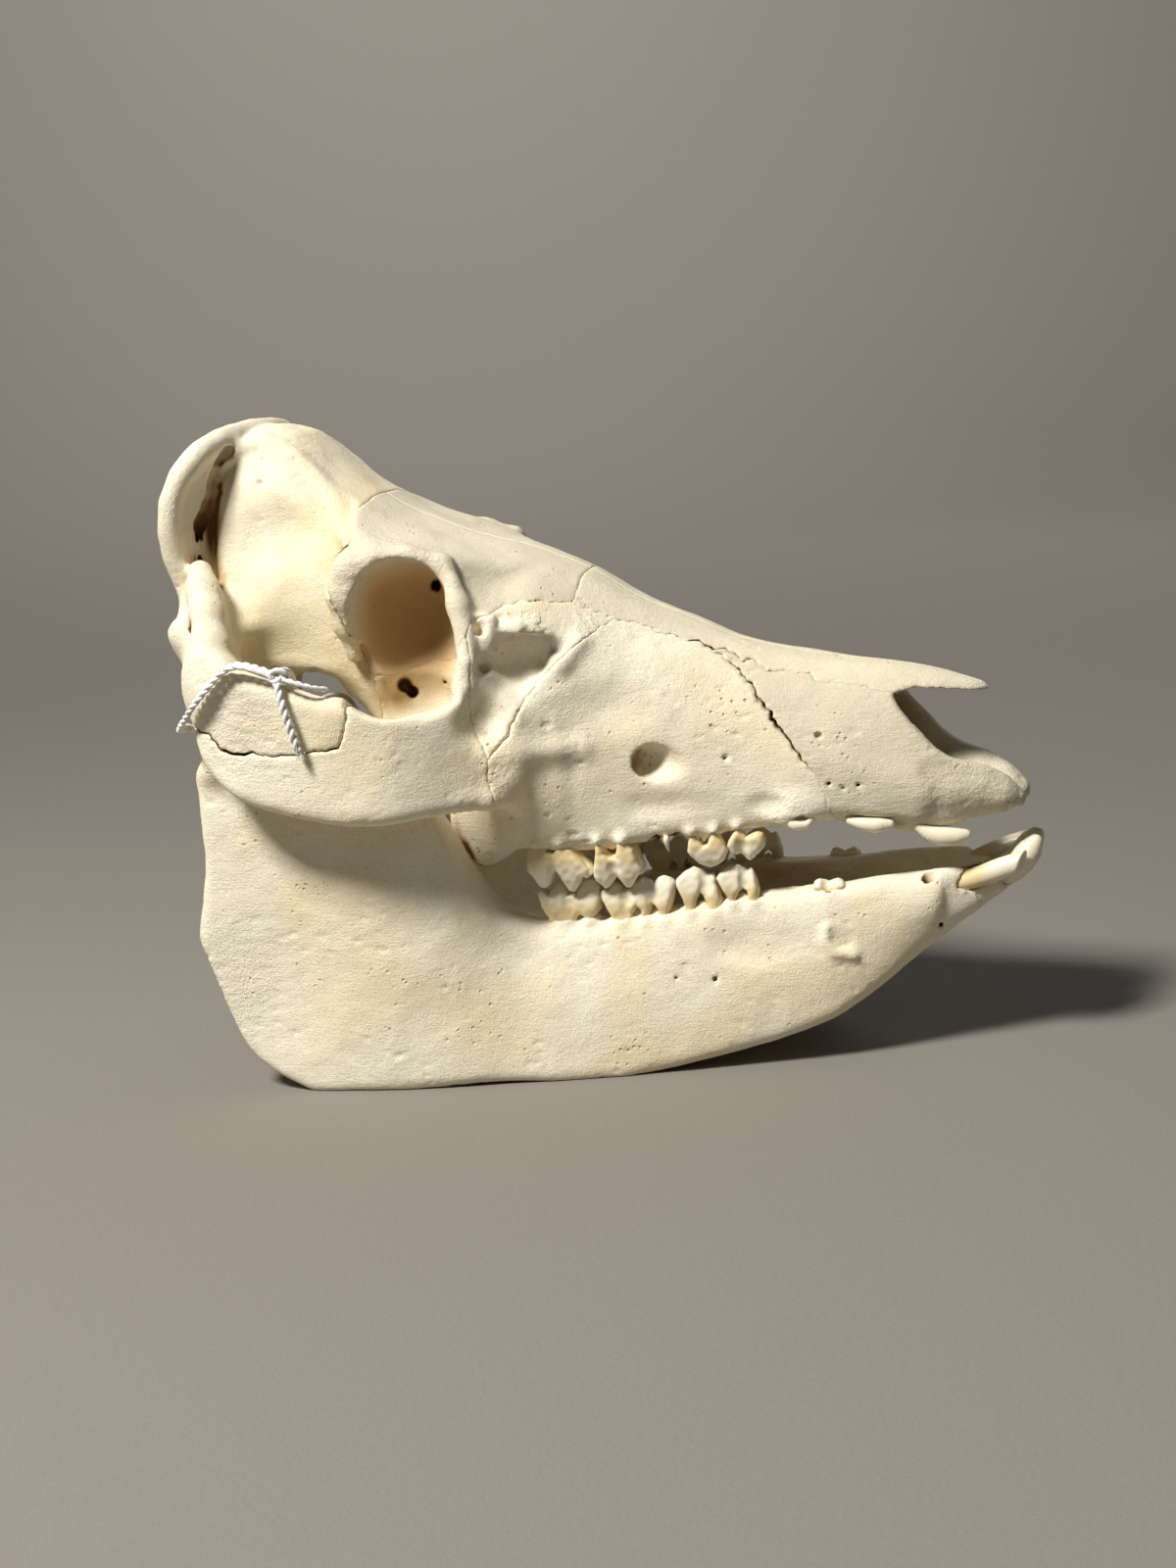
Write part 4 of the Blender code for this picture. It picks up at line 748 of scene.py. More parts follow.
def tooth_seats(shape, teeth, pegs, up):
    """Sockets for the roots of the teeth, with a low rim of bone around each."""
    way = 1 if up else -1
    for name, x0, x1, s0, s1, width, neck, tip, outline, grooves, roots in teeth:
        seats = [(x0 + share * (x1 - x0), s0 + (s1 - s0) * share - 0.5 * width, half * (x1 - x0))
                 for share, half in roots]
        for x, s, r in seats:
            shape.add_ellipsoid((x, s, neck + way * 1.2), (r + 0.2, 0.5 * width + 0.3, 1.4), 2.4)
        for x, s, r in seats:
            for side in (-0.18 * width, 0.18 * width):
                shape.carve_rods(((x, s + side, neck - way * 3, r + 0.1),
                                  (x, s + side, neck + way * 2.5, r * 0.7)), 0.4)
        for (u, a), (v, b) in zip(roots[:-1], roots[1:]):
            share = 0.5 * (u + a + v - b)
            x = x0 + share * (x1 - x0)
            s = s0 + (s1 - s0) * share - 0.5 * width
            shape.add_rods(((x, s, neck + way * 2.5, 1.4), (x, s, neck - way * 1.4, 0.5)), 1.6)
    for name, chain in pegs:
        shape.carve_rods([(x, s, z, r + 0.3) for x, s, z, r in chain], 0.5)


def cranium_shape(step):
    """The whole upper skull with the sockets of its teeth."""
    shape = Shape(BOX_LOW, BOX_HIGH, step)
    skull_body(shape)
    nape_crest(shape)
    cheek_arch(shape)
    cheek_hollow(shape)
    back_of_head(shape)
    eye_sockets(shape)
    face_details(shape)
    nose_hollow(shape)
    palate(shape)
    fine_temple(shape)
    fine_socket(shape)
    fine_face(shape)
    fine_sockets_of_teeth(shape)
    tooth_seats(shape, UPPER_TEETH, (), True)
    return shape


def jaw_shape(step):
    """The whole lower jaw with the sockets of its teeth."""
    shape = Shape(BOX_LOW, (BOX_HIGH[0], 0, BOX_LOW[2] + 0.6 * (BOX_HIGH[2] - BOX_LOW[2])), step)
    x, s, z = shape.x, shape.s, shape.z
    low, top, out_low, out_top, thick_low, thick_top = [curve(JAW, x, n) for n in range(1, 7)]
    t = np.clip((z - low) / np.maximum(top - low, 1), 0, 1)
    bulge = 1.6 * np.sin(np.pi * t) * np.clip((x - 30) / 25, 0, 1)
    bulge = bulge + 1.5 * np.sin(np.pi * t ** 1.2) * np.clip((x - 134) / 20, 0, 1)
    outer = out_low + (out_top - out_low) * t + bulge
    inner = outer - (thick_low + (thick_top - thick_low) * t) - 0.6 * bulge
    side = smax(s - outer, inner - s, 1)
    edge = smax((z - top) * 0.85, (low - 0.8 - z) * 0.9, 2)
    edge = smax(edge, curve(JAW_BACK, z) - x, 3)
    edge = smax(edge, x - (174.5 - 0.10 * np.minimum(s, 14) ** 2), 3)
    shape.add(smax(side, edge, 4), 0.5)
    shape.add_ellipsoid((-27.5, 41.5, 85.6), (5.4, 7.8, 4.4), 4)
    shape.carve_ellipsoid((-13, 46, 96), (7.5, 12, 13), 3)
    shape.carve_ellipsoid((2, 39.5, 52), (24, 4, 26), 5)
    shape.carve(rod((x, s, z), (126, 0, 50), (176, 0, 55), 11, 9.5), 3)
    fine_jaw(shape)
    tooth_seats(shape, LOWER_TEETH, LOWER_PEGS, False)
    shape.f = np.maximum(shape.f, -z)
    return shape


def fine_jaw(shape):
    """Small openings, the lipped dent and the muscle marks of the lower jaw."""
    for x, s, z, r in ((99, 34.5, 23.5, 0.8), (89.2, 36.5, 24.2, 0.6), (154.2, 16.4, 33.4, 0.75)):
        shape.carve_rods(((x, s, z, r), (x - 3, s - 7, z + 0.5, r * 0.8)), 0.5)
    shape.carve_ellipsoid((129.8, 25.4, 32.6), (4.8, 3.8, 3.4), 2)
    shape.add_chain(((124.8, 22.2, 35.4, 0.4), (124.2, 23.2, 32, 0.5), (126.6, 23.2, 29.2, 0.5),
                     (131.6, 22, 28, 0.4)), 2.6)
    shape.carve_ellipsoid((112, 27.5, 33), (15, 2.6, 5), 3.5)
    for x, s, z, r in ((150.8, 13.8, 47.4, 1.3), (152.2, 13.6, 47.8, 1),
                       (160.8, 11.4, 48.6, 0.9)):
        shape.carve_rods(((x, s, z, r), (x - 2.4, s, z - 5, r * 0.8)), 0.6)
    shape.carve_rods(((167, 12.8, 43.9, 0.6), (170.2, 11.8, 44, 1.1),
                      (175.5, 9.5, 44.6, 1.4)), 0.5)
    shape.carve_ellipsoid((-14, 54.5, 34), (16, 5, 20), 6)
    shape.carve_rods(((-4, 39, 58, 3), (2, 43, 52, 1.6)), 1.2)


def joined(corners):
    """Whether the chosen corners of a cube hang together along its edges."""
    left = set(corners)
    if not left:
        return True
    stack = [left.pop()]
    while stack:
        c = stack.pop()
        for bit in (1, 2, 4):
            if c ^ bit in left:
                left.remove(c ^ bit)
                stack.append(c ^ bit)
    return not left


def crossed(code):
    """Whether one face of the cube has its inside corners on a diagonal."""
    for bit in (1, 2, 4):
        u, v = [b for b in (1, 2, 4) if b != bit]
        for base in (0, bit):
            ring = [(code >> c) & 1 for c in (base, base | u, base | u | v, base | v)]
            if ring in ([1, 0, 1, 0], [0, 1, 0, 1]):
                return True
    return False


# for each pattern of inside corners of a grid cell, whether its skin could touch itself
DOUBTFUL = np.array([not joined([c for c in range(8) if (code >> c) & 1])
                     or not joined([c for c in range(8) if not (code >> c) & 1])
                     or crossed(code) for code in range(256)])


def settle(values, step):
    """Nudge doubtful grid values so that the skin never touches itself."""
    for _ in range(30):
        inside = values < 0
        code = np.zeros([n - 1 for n in values.shape], dtype=np.uint8)
        nx, ny, nz = code.shape
        for c in range(8):
            dx, dy, dz = c & 1, (c >> 1) & 1, (c >> 2) & 1
            part = inside[dx:dx + nx, dy:dy + ny, dz:dz + nz]
            code |= (part.astype(np.uint8) << c).astype(np.uint8)
        cells = np.argwhere(DOUBTFUL[code])
        if len(cells) == 0:
            break
        for i, j, k in cells:
            block = values[i:i + 2, j:j + 2, k:k + 2]
            shut = np.where(block > 0, block, 1e9)
            block[np.unravel_index(np.argmin(shut), shut.shape)] = -0.12 * step
    return values


def surface(values, low, step):
    """Closed skin of quads where the values change sign."""
    values = settle(values, step)
    inside = values < 0
    cells = [n - 1 for n in values.shape]
    total = cells[0] * cells[1] * cells[2]
    owners, places, quads = [], [], []
    for axis in range(3):
        lo = [slice(None)] * 3
        hi = [slice(None)] * 3
        lo[axis] = slice(0, -1)
        hi[axis] = slice(1, None)
        ia, ib = inside[tuple(lo)], inside[tuple(hi)]
        idx = np.array(np.nonzero(ia != ib))
        va, vb = values[tuple(lo)][tuple(idx)], values[tuple(hi)][tuple(idx)]
        where = idx.astype(float)
        where[axis] += va / (va - vb)
        others = [n for n in range(3) if n != axis]
        ring = []
        for du, dv in ((0, 0), (1, 0), (1, 1), (0, 1)):
            c = idx.copy()
            c[others[0]] -= du
            c[others[1]] -= dv
            ring.append((c[0] * cells[1] + c[1]) * cells[2] + c[2])
            owners.append(ring[-1])
            places.append(where)
        quad = np.array(ring)
        flip = ~ia[tuple(idx)]
        if axis == 1:
            flip = ~flip
        quad[:, flip] = quad[::-1, flip]
        quads.append(quad.T)
    owners = np.concatenate(owners)
    places = np.concatenate(places, axis=1)
    used, back = np.unique(owners, return_inverse=True)
    hits = np.bincount(back)
    points = np.stack([np.bincount(back, weights=places[n]) / hits for n in range(3)], axis=1)
    faces = np.searchsorted(used, np.concatenate(quads))
    return points * step + np.array(low), faces


def value_at(values, low, step, points):
    """Values of a grid at points, read between the grid values."""
    q = (np.asarray(points) - np.array(low)) / step
    top = np.array(values.shape) - 2
    i = np.clip(np.floor(q).astype(int), 0, top)
    t = np.clip(q - i, 0, 1)
    out = 0.0
    for c in range(8):
        d = np.array([c & 1, (c >> 1) & 1, (c >> 2) & 1])
        w = np.prod(np.where(d == 1, t, 1 - t), axis=1)
        out = out + w * values[i[:, 0] + d[0], i[:, 1] + d[1], i[:, 2] + d[2]]
    return out


def slope_at(values, low, step, points):
    """Steepest way up of a grid's values at points."""
    rise = [value_at(values, low, step, points + e) - value_at(values, low, step, points - e)
            for e in np.eye(3) * 0.5 * step]
    return np.stack(rise, axis=1) / step


def half_plane_points(points):
    """Points with their distance to the middle plane in place of y, on the right side."""
    q = np.array(points, dtype=float)
    q[:, 1] = -np.abs(q[:, 1])
    return q


def polygon(x, z, points):
    """Signed distance to the outline through some points, below zero inside it."""
    best = np.full(np.broadcast_shapes(x.shape, z.shape), 1e9)
    inside = np.zeros(best.shape, dtype=bool)
    for (ax, az), (bx, bz) in zip(points, points[1:] + points[:1]):
        dx, dz = bx - ax, bz - az
        t = np.clip(((x - ax) * dx + (z - az) * dz) / (dx * dx + dz * dz), 0, 1)
        best = np.minimum(best, (x - ax - t * dx) ** 2 + (z - az - t * dz) ** 2)
        if az != bz:
            crosses = (az > z) != (bz > z)
            inside ^= crosses & (x < ax + dx * (z - az) / dz)
    return np.where(inside, -1, 1) * np.sqrt(best)


def seam_field(shape, name):
    """Distance to the share of the skull that one bone holds, below zero inside it."""
    x, s, z = (v.astype(float) for v in (shape.x, shape.s, shape.z))
    flat = np.stack(np.broadcast_arrays(x, 0 * x, z), axis=-1)
    wob = [0.34 * ripple(flat, 9.0, seed) + 0.15 * ripple(flat, 3.4, seed + 1)
           + 0.10 * ripple(flat, 1.8, seed + 2) for seed in (31, 41)]
    wx, wz = x + wob[0], z + wob[1]
    far, deep = 260, -60  # beyond the top and the bottom of the skull
    behind = polygon(wx, wz, [(-90, far), (8, far), *CORONAL_SEAM, (12, deep), (-90, deep)])
    below = polygon(wx, wz, [*CHEEK_TEMPLE_SEAM, (90, 125), (90, deep), (-90, deep), (-90, 100)])
    outside = polygon(x + 1.3 * wob[0], s + 0 * z, [(-90, 46.5), (14, 46.5), *CHEEK_FRONT_SEAM,
                                                   (52, 120), (-90, 120)])
    cheek = np.maximum(outside, below)
    if name == "zygomatic":
        return cheek
    if name == "braincase":
        inner = np.maximum(behind, s - 48)
        outer = np.maximum(np.maximum(44.5 - s, x - 26), -below)
        return np.minimum(inner, outer)
    if name == "frontal":
        outline = [(8, far), *CORONAL_SEAM[:7], *FOREHEAD_SEAM[1:], (66, 140), (66, far)]
        return np.maximum(polygon(wx, wz, outline), s - 47)
    if name == "nasal":
        outline = [(66, far), (66, 140), *NASAL_SEAM, (far, 80), (far, far)]
        return polygon(wx, wz, outline)
    if name in ("maxilla", "lacrimal"):
        outline = [*CORONAL_SEAM[6:8], (12, deep), (131, deep), *INCISIVE_SEAM[::-1],
                   (73, 116.5), *FOREHEAD_SEAM[:0:-1]]
        whole = np.maximum(polygon(wx, wz, outline), -cheek)
        tear = polygon(wx, wz, [*LACRIMAL_SEAM, *FOREHEAD_SEAM[1:]])
        return np.maximum(whole, tear if name == "lacrimal" else -tear)
    outline = [*INCISIVE_SEAM, (131, deep), (far, deep), (far, 80), *NASAL_SEAM[:2:-1]]
    return polygon(wx, wz, outline)


# both shapes and the map of the open air, once they are made
FORMS = {}


def forms():
    """Both shapes on the fine grid, made once."""
    if not FORMS:
        step = bpy.context.scene.skull_sizes.grid_step
        FORMS["skull"] = cranium_shape(step)
        FORMS["jaw"] = jaw_shape(step)
    return FORMS


def near_bone(points):
    """Distance from points to the nearer of the two shapes."""
    q = half_plane_points(points)
    out = []
    for key in ("skull", "jaw"):
        form = FORMS[key]
        d = value_at(form.f, form.low, form.step, q)
        top = form.axes[2][-1]
        out.append(np.where(q[:, 2] > top, np.maximum(d, q[:, 2] - top), d))
    return np.minimum(*out)


def air_map():
    """Share of all directions that lead to open air, on a coarse grid around the bones."""
    if "air" not in FORMS:
        axes = [np.arange(lo, hi, AIR_STEP) for lo, hi in zip(AIR_LOW, AIR_HIGH)]
        spots = np.stack(np.meshgrid(*axes, indexing="ij"), axis=-1)
        count = spots.shape[:3]
        free = near_bone(spots.reshape(-1, 3)).reshape(count) > 0
        free &= spots[..., 2] > -1
        total = np.zeros(count)
        ways = [way for way in np.ndindex(3, 3, 3) if way != (1, 1, 1)]
        for way in ways:
            here = free.copy()
            for _ in range(AIR_AHEAD):
                ahead = np.ones(count, dtype=bool)
                put = tuple(slice(max(1 - w, 0), n - max(w - 1, 0)) for w, n in zip(way, count))
                get = tuple(slice(max(w - 1, 0), n - max(1 - w, 0)) for w, n in zip(way, count))
                ahead[put] = here[get]
                here = free & ahead
            total += here
        FORMS["air"] = (total / len(ways), AIR_LOW, AIR_STEP)
    return FORMS["air"]


def openness(points, normals):
    """How much open air lies over each point, from 0 in a deep hollow to 1."""
    near = 0.0
    for reach in NEAR_REACHES:
        near = near + 0.5 * np.clip(near_bone(points + normals * reach) / (0.85 * reach), 0, 1)
    wide = value_at(*air_map(), points + normals * WIDE_REACH)
    return near * 0.4 + 0.6 * np.clip(wide / OPEN_SHARE, 0, 1)


def skin(values, low, step, mirrored=False):
    """Points, outward normals and faces of a grid's skin, drawn close to the true level."""
    if mirrored:
        values = np.concatenate([values, values[:, -2::-1, :]], axis=1)
    points, faces = surface(values, low, step)
    slope = slope_at(values, low, step, points)
    length = np.maximum(np.linalg.norm(slope, axis=1), 0.2)[:, None]
    miss = value_at(values, low, step, points)[:, None] / length
    points = points - slope / length * np.clip(miss, -0.3 * step, 0.3 * step)
    return points, slope / length, faces


def mesh_piece(name, parts):
    """Object from parts in millimetres, with its points and normals in millimetres."""
    points = np.concatenate([p for p, n, f in parts])
    normals = np.concatenate([n for p, n, f in parts])
    start = np.cumsum([0] + [len(p) for p, n, f in parts[:-1]])
    faces = np.concatenate([f + k for (p, n, f), k in zip(parts, start)])
    mesh = bpy.data.meshes.new(name)
    mesh.from_pydata(((points - np.array(MIDDLE)) * MM).tolist(), [], faces.tolist())
    mesh.polygons.foreach_set("use_smooth", [True] * len(mesh.polygons))
    obj = bpy.data.objects.new(name, mesh)
    bpy.context.scene.collection.objects.link(obj)
    return obj, points, normals


def point_value(obj, name, values):
    """Store one number per point, for the material to read."""
    layer = obj.data.attributes.new(name, "FLOAT", "POINT")
    layer.data.foreach_set("value", np.asarray(values, dtype=np.float32))


def mirrored_part(part):
    """The same part on the other side of the middle plane."""
    points, normals, faces = part
    flip = np.array((1, -1, 1))
    return points * flip, normals * flip, faces[:, ::-1]


def bone_part(shape, name, paired):
    """Skin of one bone: the shape inside that bone's share of the skull."""
    gap = bpy.context.scene.skull_sizes.seam_gap * 1000 * 0.5
    socket = np.exp(-((shape.x - 26) / 15) ** 4 - ((shape.z - 110) / 22) ** 4) * (shape.s < 40)
    wide = gap - (SEAM_OVERLAP + SOCKET_OVERLAP * socket) * shape.step
    for x, z, reach, width, least in OPEN_SEAMS:
        far = (shape.x - x) ** 2 + (shape.z - z) ** 2
        gape = 0.5 * width * np.exp(-far / reach ** 2) * (shape.s > least)
        wide = np.where(gape > 0.02, np.maximum(wide, gape), wide)
    share = (seam_field(shape, name) + wide).astype(np.float32)
    values = smax(shape.f, share, SEAM_ROUNDING)
    if paired:
        values = np.maximum(values, (gap - shape.s).astype(np.float32))
    hit = [np.nonzero((values < 0).any(axis=tuple(m for m in range(3) if m != n)))[0]
           for n in range(3)]
    cut = tuple(slice(max(h[0] - 2, 0), h[-1] + 3) for h in hit)
    if not paired:
        cut = (cut[0], slice(cut[1].start, None), cut[2])
    low = [a + c.start * shape.step for a, c in zip(shape.low, cut)]
    return skin(values[cut].copy(), low, shape.step, mirrored=not paired)


def drop_crumbs(part, least=60):
    """Leave out islands of fewer faces than the least."""
    points, normals, faces = part
    label = np.arange(len(points))
    while True:
        low = label[faces].min(axis=1)
        new = label.copy()
        np.minimum.at(new, faces.ravel(), np.repeat(low, 4))
        new = new[new]
        if np.array_equal(new, label):
            break
        label = new
    owner = label[faces[:, 0]]
    names, sizes = np.unique(owner, return_counts=True)
    keep = np.isin(owner, names[sizes >= least])
    faces = faces[keep]
    used, back = np.unique(faces, return_inverse=True)
    return points[used], normals[used], back.reshape(faces.shape)


def place(obj, material, node=None):
    """Put a piece on the specimen, in place of its solid if it has one."""
    obj.data.materials.append(material)
    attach(obj, "root")
    if node:
        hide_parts(node)


# places where the bone is rough: brow, cheek, snout tip, jaw angle (x, s, z, reach)
ROUGH_PLACES = (
    (13, 40, 136, 7), (22, 38, 140, 7), (9, 39, 128, 6), (32, 35, 138, 6), (-12, 60, 100, 12),
    (46, 41, 82, 7), (160, 12, 66, 12), (168, 8, 92, 5), (-30, 48, 30, 14), (116, 24, 66, 6),
    (-33, 34, 150, 6), (70, 22, 117, 5), (55, 34, 119, 5),
)


# places of painted shade (below zero) and painted light (above zero), beyond what their hollow
# alone gives: (x, s, z, reach, change of the open air value)
PAINTED_LIGHT_AND_SHADE = (
    (-31, 26, 150, 7, -0.45), (-32.5, 27, 142, 6, -0.35), (-30, 22, 159, 5.5, -0.35),
    (-15, 33.6, 121, 9, 0.40), (0, 31, 113, 13, 0.40), (-13, 31, 112, 9, 0.30),
    (2, 30, 124, 10, 0.25), (13, 25, 99.5, 5, -0.60), (36, 34, 108, 8, 0.30),
    (55.5, 31, 108.5, 7, -0.42), (48, 44, 97, 6, -0.18), (84.6, 23, 60, 4.5, -0.80),
    (80.4, 23.6, 81, 2.8, -0.45), (146, 8, 86, 9, -0.35), (156, 6, 80, 8, -0.35),
    (6, 47, 80, 13, -0.22), (-8, 48, 76, 10, -0.18), (20, 45, 76, 11, -0.22),
    (45, 37, 118.6, 2.4, 0.45), (45, 38.5, 109.6, 2.4, 0.25),
    (62, 13, 46, 9, -0.55), (76, 12, 47, 9, -0.60), (90, 11, 48, 9, -0.65), (104, 10, 49, 9, -0.65),
    (118, 8.5, 50, 8.5, -0.65), (132, 7.5, 51, 8, -0.60), (146, 6, 51, 7.5, -0.50),
    (158, 4, 50, 6, -0.45), (60, 16, 60, 8, -0.5), (76, 14, 62, 8, -0.5), (92, 12, 62, 8, -0.5),
)

# even painted shade inside of the eye socket, on the right side: middle, reach, open air value
SOCKET_MIDDLE = (21, -24, 119)
SOCKET_REACH = (17, 15.5, 20.5)
SOCKET_SHADE_AIR = 0.25


def coarseness(points):
    """How rough the bone is at each point, from 0 to 1."""
    q = half_plane_points(points)
    rough = np.zeros(len(points))
    for x, s, z, reach in ROUGH_PLACES:
        rough = np.maximum(rough, np.exp(-((q - (x, -s, z)) ** 2).sum(axis=1) / reach ** 2))
    return rough


def weathered(part):
    """The same skin with the unevenness of real bone: swells, ripples and small pits."""
    points, normals, faces = part
    lift = sum(high * ripple(points, wave, seed) for high, wave, seed in SWELLS)
    lift += (GRAIN + ROUGH_GRAIN * coarseness(points)) * ripple(points, 2.2, 6)
    pits = ripple(points, 2.6, 7, stretch=(2.2, 1, 1))
    zone = np.clip(ripple(points, 26.0, 8), 0, 1)
    lift -= PIT_DEPTH * zone * np.clip(pits - 1.2, 0, 1)
    points = points + normals * lift[:, None]
    points[:, 2] = np.maximum(points[:, 2], 0)
    return points, normals, faces


def set_bone(name, parts, node, slot):
    """Make one bone's object with the values that its material reads."""
    obj, points, normals = mesh_piece(name, [weathered(part) for part in parts])
    # the open air value drives the painted shade of the hollows in the bone material
    air = openness(points, normals)
    q = half_plane_points(points)
    # painted shade and painted light at the listed places
    for x, s, z, reach, change in PAINTED_LIGHT_AND_SHADE:
        air += change * np.exp(-((q - (x, -s, z)) ** 2).sum(axis=1) / reach ** 2)
    # even painted shade inside the eye socket
    far = ((q - SOCKET_MIDDLE) / SOCKET_REACH) ** 4
    air += (SOCKET_SHADE_AIR - air) * np.exp(-far.sum(axis=1))
    point_value(obj, "open_air", np.clip(air, 0, 1))
    point_value(obj, "coarse", coarseness(points))
    place(obj, bone_material(slot), node)


class NodeSheet:
    """Short way to write down a node tree."""

    def __init__(self, tree):
        self.tree = tree

    def node(self, kind, **settings):
        """New node with some of its settings."""
        made = self.tree.nodes.new(kind)
        for key, value in settings.items():
            setattr(made, key, value)
        return made

    def set(self, socket, value):
        """Link a socket to another one or give it a value."""
        if isinstance(value, bpy.types.NodeSocket):
            self.tree.links.new(value, socket)
        else:
            if hasattr(socket.default_value, "__len__") and len(value) < len(socket.default_value):
                value = (*value, 1.0)
            socket.default_value = value

    def maths(self, kind, a, b, clamp=False):
        made = self.node("ShaderNodeMath", operation=kind, use_clamp=clamp)
        self.set(made.inputs[0], a)
        self.set(made.inputs[1], b)
        return made.outputs[0]

    def mix(self, share, a, b):
        """Mix two colours, whose sockets have the numbers 6, 7 and 2."""
        made = self.node("ShaderNodeMix", data_type="RGBA")
        self.set(made.inputs["Factor"], share)
        self.set(made.inputs[6], a)
        self.set(made.inputs[7], b)
        return made.outputs[2]

    def range(self, value, low, high, to_low=0.0, to_high=1.0):
        """Soft step of a value from one range to another."""
        made = self.node("ShaderNodeMapRange", interpolation_type="SMOOTHSTEP")
        for n, v in enumerate((value, low, high, to_low, to_high)):
            self.set(made.inputs[n], v)
        return made.outputs[0]

    def noise(self, where, scale, detail=3.0, rough=0.55, distort=0.0):
        made = self.node("ShaderNodeTexNoise")
        self.set(made.inputs["Vector"], where)
        for key, v in (("Scale", scale), ("Detail", detail), ("Roughness", rough),
                       ("Distortion", distort)):
            self.set(made.inputs[key], v)
        return made.outputs["Fac"]

    def bump(self, shader, height, strength, distance):
        """Let a height drive the shader's normal."""
        made = self.node("ShaderNodeBump")
        made.inputs["Strength"].default_value = strength
        made.inputs["Distance"].default_value = distance
        self.set(made.inputs["Height"], height)
        self.set(shader.inputs["Normal"], made.outputs["Normal"])

    def where(self):
        """Place of each point on the object itself."""
        return self.node("ShaderNodeTexCoord").outputs["Object"]

    def value(self, name):
        """Number that the mesh stores for each point."""
        return self.node("ShaderNodeAttribute", attribute_name=name).outputs["Fac"]

    def stretch(self, where, scale, turn=(0, 0, 0)):
        made = self.node("ShaderNodeMapping")
        self.set(made.inputs["Vector"], where)
        made.inputs["Scale"].default_value = scale
        made.inputs["Rotation"].default_value = turn
        return made.outputs[0]


def new_material(name):
    """New material with its sheet and its shader."""
    mat = bpy.data.materials.new(name)
    mat.use_nodes = True
    return mat, NodeSheet(mat.node_tree), mat.node_tree.nodes["Principled BSDF"]


def bone_group():
    """Dry bone: chalky cream with warm patches, amber painted shade in the hollows, pores and fine
    fibres.
    """
    if "dry_bone" in bpy.data.node_groups:
        return bpy.data.node_groups["dry_bone"]
    tree = bpy.data.node_groups.new("dry_bone", "ShaderNodeTree")
    for way, kind, labels in (
            ("INPUT", "NodeSocketColor", ("Pale", "Warm", "Shade", "Deep")),
            ("INPUT", "NodeSocketFloat", ("Warmth", "Fibre", "Pores", "Open air", "Rough", "Grey shade")),
            ("OUTPUT", "NodeSocketColor", ("Color",)),
            ("OUTPUT", "NodeSocketFloat", ("Roughness", "Height"))):
        for label in labels:
            tree.interface.new_socket(label, in_out=way, socket_type=kind)
    t = NodeSheet(tree)
    given, out = t.node("NodeGroupInput").outputs, t.node("NodeGroupOutput").inputs
    where = t.where()
    broad = t.noise(where, 26.0, 3.0, 0.5, 0.6)
    patch = t.noise(where, 85.0, 4.0, 0.6, 0.3)
    grain = t.noise(where, 1350.0, 4.0, 0.62)
    chalk = t.noise(where, 3000.0, 3.0, 0.6)
    lengthways = t.stretch(where, (240.0, 700.0, 1500.0), (0, radians(18), 0))
    fibre = t.noise(lengthways, 1.0, 3.0, 0.6, 0.4)
    holes = t.node("ShaderNodeTexVoronoi", feature="F1")
    t.set(holes.inputs["Vector"], where)
    holes.inputs["Scale"].default_value = 420.0
    pore_spot = t.range(holes.outputs["Distance"], 0.10, 0.24, 1.0, 0.0)
    pore_zone = t.range(patch, 0.52, 0.66)
    pores = t.maths("MULTIPLY", t.maths("MULTIPLY", pore_spot, pore_zone), given["Pores"])
    warm = t.maths("ADD", t.range(broad, 0.38, 0.66),
                   t.maths("MULTIPLY", t.range(patch, 0.4, 0.7), 0.35))
    warm = t.maths("MULTIPLY", warm, given["Warmth"], clamp=True)
    colour = t.mix(warm, given["Pale"], given["Warm"])
    # grey painted shade, mixed evenly into the bones whose tops take less light
    colour = t.mix(given["Grey shade"], colour, lin(*GREY_PAINTED_SHADE))
    colour = t.mix(t.range(grain, 0.60, 0.38, 0.0, 0.13), colour, given["Shade"])
    # painted shade: tan where little open air lies over the bone, then brown in the deepest hollows
    shut = t.range(given["Open air"], 0.60, 0.18)
    colour = t.mix(t.maths("MULTIPLY", shut, 0.8), colour, given["Shade"])
    deep = t.range(given["Open air"], 0.36, 0.08)
    colour = t.mix(t.maths("MULTIPLY", deep, 0.9), colour, given["Deep"])
    colour = t.mix(t.maths("MULTIPLY", pores, 0.55), colour, given["Shade"])
    t.set(out["Color"], colour)
    t.set(out["Roughness"], t.range(chalk, 0.3, 0.7, 0.58, 0.74))
    coarse = t.range(given["Rough"], 0.05, 0.6, 0.35, 1.1)
    height = t.maths("MULTIPLY", t.maths("MULTIPLY", grain, coarse), 0.55)
    fibres = t.maths("MULTIPLY", fibre, given["Fibre"])
    for kind, share, part in (("ADD", 0.34, chalk), ("ADD", 0.6, fibres), ("ADD", 0.9, patch),
                              ("SUBTRACT", 0.8, pores)):
        height = t.maths(kind, height, t.maths("MULTIPLY", part, share))
    t.set(out["Height"], height)
    return tree


# how warm, fibrous and porous the surface of each bone is, and how much grey painted shade dims the
# whole bone, most the forehead and snout
BONE_FINISH = {
    "braincase": (0.75, 0.20, 0.35, 0.3), "frontal": (0.25, 0.30, 0.7, 0.75),
    "nasal": (0.35, 0.35, 0.3, 0.6), "maxilla": (0.40, 0.3, 0.9, 0.1),
    "incisive": (0.35, 0.4, 0.6, 0.75), "zygomatic": (0.40, 0.3, 0.6, 0.05),
    "mandible": (0.45, 0.25, 0.6, 0.0),
}


